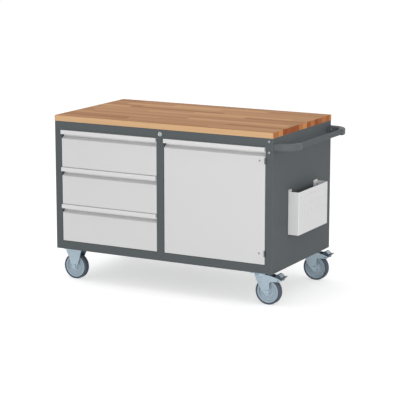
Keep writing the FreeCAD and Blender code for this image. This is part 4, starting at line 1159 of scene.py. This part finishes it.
@dataclass
class Castors:
    """Two fixed castors on the left and two braked swivel castors on the right."""

    nodes: dict[str, Piece]
    # Through the top plates, with the plate between head and nut.
    bolt: HexBolt = HexBolt(7.2 * MM, 5 * MM, 4 * MM, ((1.0, 0.0), (0.2, -0.3)), 0.0, 20)
    bolt_grip: float = 4.5 * MM
    # Degrees from one bolt's hexagon to the next, as a spanner leaves them.
    bolt_turn: float = 37.0
    axle: HexBolt = HexBolt(10 * MM, 5 * MM, 6 * MM, ((1.4, 0.0), (0.3, -0.4)), 0.5 * MM, 24)
    axle_turn: float = 11.0
    # Race cups: flange, wall, and drops in millimetres with the scale at the end of each.
    cup_flange: float = 34 * MM
    cup_radius: float = 30.4 * MM
    cup_plate: float = 1.2 * MM
    cup_draft: float = 1.5 * MM
    cup_drops: Steps = ((0.8, 0.955), (4.6, 1.0), (0.9, 1.035), (3.1, 1.0))
    # Treads: size, place beyond and above the pedal's pin, slope in degrees and ribs.
    pad: tuple[float, float, float] = (19 * MM, 35 * MM, 1.6 * MM)
    pad_place: tuple[float, float] = (9.4 * MM, 22.6 * MM)
    pad_slope: float = 37.9
    pad_ribs: int = 5
    pad_rib_height: float = 0.9 * MM
    pad_rounding: float = 0.25 * MM
    # How far the pin lies inside the outer and upper sides of the pedal's box.
    pin_inset: tuple[float, float] = (30 * MM, 29 * MM)

    def build(self) -> None:
        """Make the bolts, axles, race cups and pedal pads."""
        self.set_plate_bolts()
        self.set_axles()
        self.set_race_cups()
        self.set_pedal_pads()

    def set_plate_bolts(self) -> None:
        """Hex bolts and self-locking nuts through the top plates, in place of the plain ones."""
        places = [
            Matrix.Translation(((low.x + high.x) / 2, (low.y + high.y) / 2, low.z))
            @ Matrix.Rotation(math.radians(self.bolt_turn * count), 4, "Z")
            for count, (low, high) in enumerate(solids(self.nodes["caster_bolts"]))
        ]
        bolts = stamp(self.bolt.build(self.bolt_grip), "plate_bolts", places)
        finish_piece(bolts, Coat.ZINC, "cabinet")
        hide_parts("caster_bolts")

    def set_axles(self) -> None:
        """Axle bolts with chamfered heads and self-locking nuts, in place of the plain ones."""
        for node, body in (
            ("fixed_axles", "cabinet"),
            ("swivel_axle_front", "swivel_front"),
            ("swivel_axle_rear", "swivel_rear"),
        ):
            boxes = solids(self.nodes[node])
            span = boxes[0][1].y - boxes[0][0].y
            places = []
            for low, high in boxes:
                end = ((low.x + high.x) / 2, low.y, (low.z + high.z) / 2)
                places.append(facing(end, "+Y", self.axle_turn))
            axle = self.axle.build(span - 2 * self.axle.height)
            piece = finish_piece(stamp(axle, f"{node}_turned", places), Coat.ZINC, body)
            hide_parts(node)

    def set_race_cups(self) -> None:
        """Pressed cups that cover the ball races under the swivel plates."""
        cup = disc(self.cup_flange, -self.cup_plate, 0, sides=64)
        with editing(cup):
            cap_faces(cup, -self.cup_plate, up=False)
            shoulder = self.cup_flange - self.cup_radius - self.cup_draft
            bpy.ops.mesh.inset(thickness=shoulder, depth=0)
            for drop, scale in self.cup_drops:
                draw_out(z=-drop * MM)
                bpy.ops.transform.resize(value=(scale, scale, 1))
        settle(cup)
        places = []
        for fork in ("swivel_fork_front", "swivel_fork_rear"):
            low, high = (Vector(corner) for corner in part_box(fork))
            middle = (self.swivel_x(), (low.y + high.y) / 2, self.plate_underside())
            places.append(Matrix.Translation(middle))
        finish_piece(stamp(cup, "race_cups", places), Coat.ZINC, "cabinet")

    def swivel_x(self) -> float:
        """Place of the swivel axes along the bench."""
        low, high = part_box("swivel_plates")
        return (low[0] + high[0]) / 2

    def plate_underside(self) -> float:
        """Height of the top plates' underside."""
        return solids(self.nodes["caster_bolts"])[0][0].z + self.bolt.height

    def set_pedal_pads(self) -> None:
        """Ribbed bright treads on the dark brake pedals."""
        for corner in ("front", "rear"):
            low, high = (Vector(edge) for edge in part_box(f"brake_pedal_{corner}"))
            back, drop = self.pin_inset
            pin = Vector((high.x - back, (low.y + high.y) / 2, high.z - drop))
            across, up = self.pad_place
            place = Matrix.Translation(pin + Vector((across, 0, up)))
            slope = Matrix.Rotation(math.radians(self.pad_slope), 4, "Y")
            piece = stamp(self.tread(), f"pedal_tread_{corner}", [place @ slope])
            finish_piece(piece, Coat.ZINC, f"brake_{corner}")

    def tread(self) -> Piece:
        """Flat tread under Z 0, with ribs across it.

        Returns:
            The tread.
        """
        long, wide, thick = self.pad
        cells = 2 * self.pad_ribs + 1
        cell = long / cells
        piece = block((long, wide, thick), (0, 0, -thick / 2))
        with editing(piece):
            pick_long_edges(piece, long / 2)
            bpy.ops.mesh.subdivide(number_cuts=cells - 1)
            pick_faces(
                piece,
                lambda face: face.normal.z > SQUARE
                and round((face.calc_center_median().x + long / 2) / cell - 0.5) % 2 == 1,
            )
            draw_out(z=self.pad_rib_height)
        rounding = piece.modifiers.new("rounding", "BEVEL")
        rounding.width = self.pad_rounding
        rounding.segments = 2
        return settle(piece)

    def dress(self) -> None:
        """Finish the forks, wheels, pedals and bolts."""
        dress_nodes(self.nodes, Coat.ZINC, ("fixed_", "swivel_", "caster_bolts"))
        # The pedals' dark coat is partly painted shade.
        dress_nodes(self.nodes, Coat.DARK_STEEL, ("brake_pedal",))
        dress_nodes(self.nodes, Coat.NYLON, ("rim_",))
        dress_nodes(self.nodes, Coat.TYRE, ("tyre_",))


# ---------------------------------------------------------------- studio


@dataclass(frozen=True)
class Lamp:
    """A soft box: its place, its width and height, and its power in watts."""

    name: str
    place: tuple[float, float, float]
    size: tuple[float, float]
    power: float


@dataclass
class Studio:
    """Pale floor, soft lamps and the camera."""

    lens: float = 147.0
    sensor: float = 36.0
    reach: float = 100.0
    yaw: float = 28.299
    pitch: float = 11.340
    camera_place: tuple[float, float, float] = (3.65035, -6.8019, 1.9429)
    # Strength of the even light from all round.
    fill: float = 0.7
    floor_size: float = 60.0
    floor_colour: str = "#D6D6D6"
    # What the lit floor lacks to white, added only for rays that see the background.
    floor_glow: float = 0.56
    lamps: list[Lamp] = field(
        default_factory=lambda: [
            Lamp("front_lamp", (2.0, -6.3, 0.75), (5.0, 1.4), 134.0),
            Lamp("side_lamp", (6.3, -2.0, 1.4), (4.0, 2.4), 96.0),
            Lamp("top_lamp", (-1.9, -0.1, 4.2), (3.0, 4.0), 42.0),
        ]
    )
    # Height on the bench's middle that the lamps look at.
    aim_height: float = 0.4

    def build(self) -> None:
        """Set up everything that isn't part of the bench."""
        self.set_world()
        self.lay_floor()
        self.hang_lamps()
        self.set_camera()
        bpy.context.scene.view_settings.view_transform = "Standard"

    @staticmethod
    def seen_rays(tree: Tree) -> Socket:
        """Find the rays that see the background: straight, in a gloss or through glass.

        Args:
            tree: node tree of the material or world.

        Returns:
            Socket that is 1 for them and 0 for the rest.
        """
        path = add_node(tree, "LightPath")
        seen = path.outputs["Is Camera Ray"]
        for name in ("Is Glossy Ray", "Is Transmission Ray"):
            either = {0: seen, 1: path.outputs[name]}
            seen = add_node(tree, "Math", {"operation": "MAXIMUM"}, either).outputs[0]
        return seen

    def set_world(self) -> None:
        """White for the camera and for reflections, and an even grey light for the rest."""
        world = bpy.data.worlds.new("studio_world")
        bpy.context.scene.world = world
        world.use_nodes = True
        tree = world.node_tree
        tree.nodes.clear()
        seen = self.seen_rays(tree)
        white = (1, 1, 1, 1)
        light = add_node(tree, "Background", inputs={"Color": white, "Strength": self.fill})
        backdrop = add_node(tree, "Background", inputs={"Color": white, "Strength": 1.0})
        mix = add_node(tree, "MixShader", inputs={0: seen, 1: light, 2: backdrop})
        add_node(tree, "OutputWorld", inputs={"Surface": mix})

    def lay_floor(self) -> None:
        """Pale floor that reads as white and keeps the bench's soft shadow."""
        bpy.ops.mesh.primitive_plane_add(size=self.floor_size, location=(0, 0, 0))
        floor = bpy.context.object
        floor.name = "floor"
        material = bpy.data.materials.new("pale_floor")
        material.use_nodes = True
        tree = material.node_tree
        tree.nodes.clear()
        seen = self.seen_rays(tree)
        matt = add_node(tree, "BsdfDiffuse", inputs={"Color": hex_linear(self.floor_colour)})
        light = {"Color": (1, 1, 1, 1), "Strength": self.floor_glow}
        glow = add_node(tree, "Emission", inputs=light)
        both = add_node(tree, "AddShader", inputs={0: matt, 1: glow})
        mix = add_node(tree, "MixShader", inputs={0: seen, 1: matt, 2: both})
        add_node(tree, "OutputMaterial", inputs={"Surface": mix})
        floor.data.materials.append(material)

    def hang_lamps(self) -> None:
        """Large soft lamps that look at the bench's middle."""
        for box in self.lamps:
            lamp = bpy.data.lights.new(box.name, "AREA")
            lamp.shape = "RECTANGLE"
            lamp.size, lamp.size_y = box.size
            lamp.energy = box.power
            holder = bpy.data.objects.new(box.name, lamp)
            bpy.context.scene.collection.objects.link(holder)
            holder.location = box.place
            aim = Vector((0, 0, self.aim_height)) - Vector(box.place)
            holder.rotation_euler = aim.to_track_quat("-Z", "Y").to_euler()

    def set_camera(self) -> None:
        """Camera at the viewing angle that the bench is shown from."""
        lens = bpy.data.cameras.new("camera")
        lens.lens = self.lens
        lens.sensor_width = self.sensor
        lens.clip_end = self.reach
        camera = bpy.data.objects.new("camera", lens)
        bpy.context.scene.collection.objects.link(camera)
        camera.location = self.camera_place
        camera.rotation_euler = (math.radians(90 - self.pitch), 0, math.radians(self.yaw))
        bpy.context.scene.camera = camera


def main() -> None:
    """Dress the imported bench, add its fine pieces and set up the studio."""
    logging.basicConfig(level=logging.INFO, format="%(message)s")
    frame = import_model()
    nodes = frame["nodes"]
    Housing(nodes).dress()
    Fronts(nodes).dress()
    castors = Castors(nodes)
    castors.dress()
    castors.build()
    PushHandle().build()
    Fixings(nodes).build()
    Studio().build()


if __name__ == "__main__":
    main()
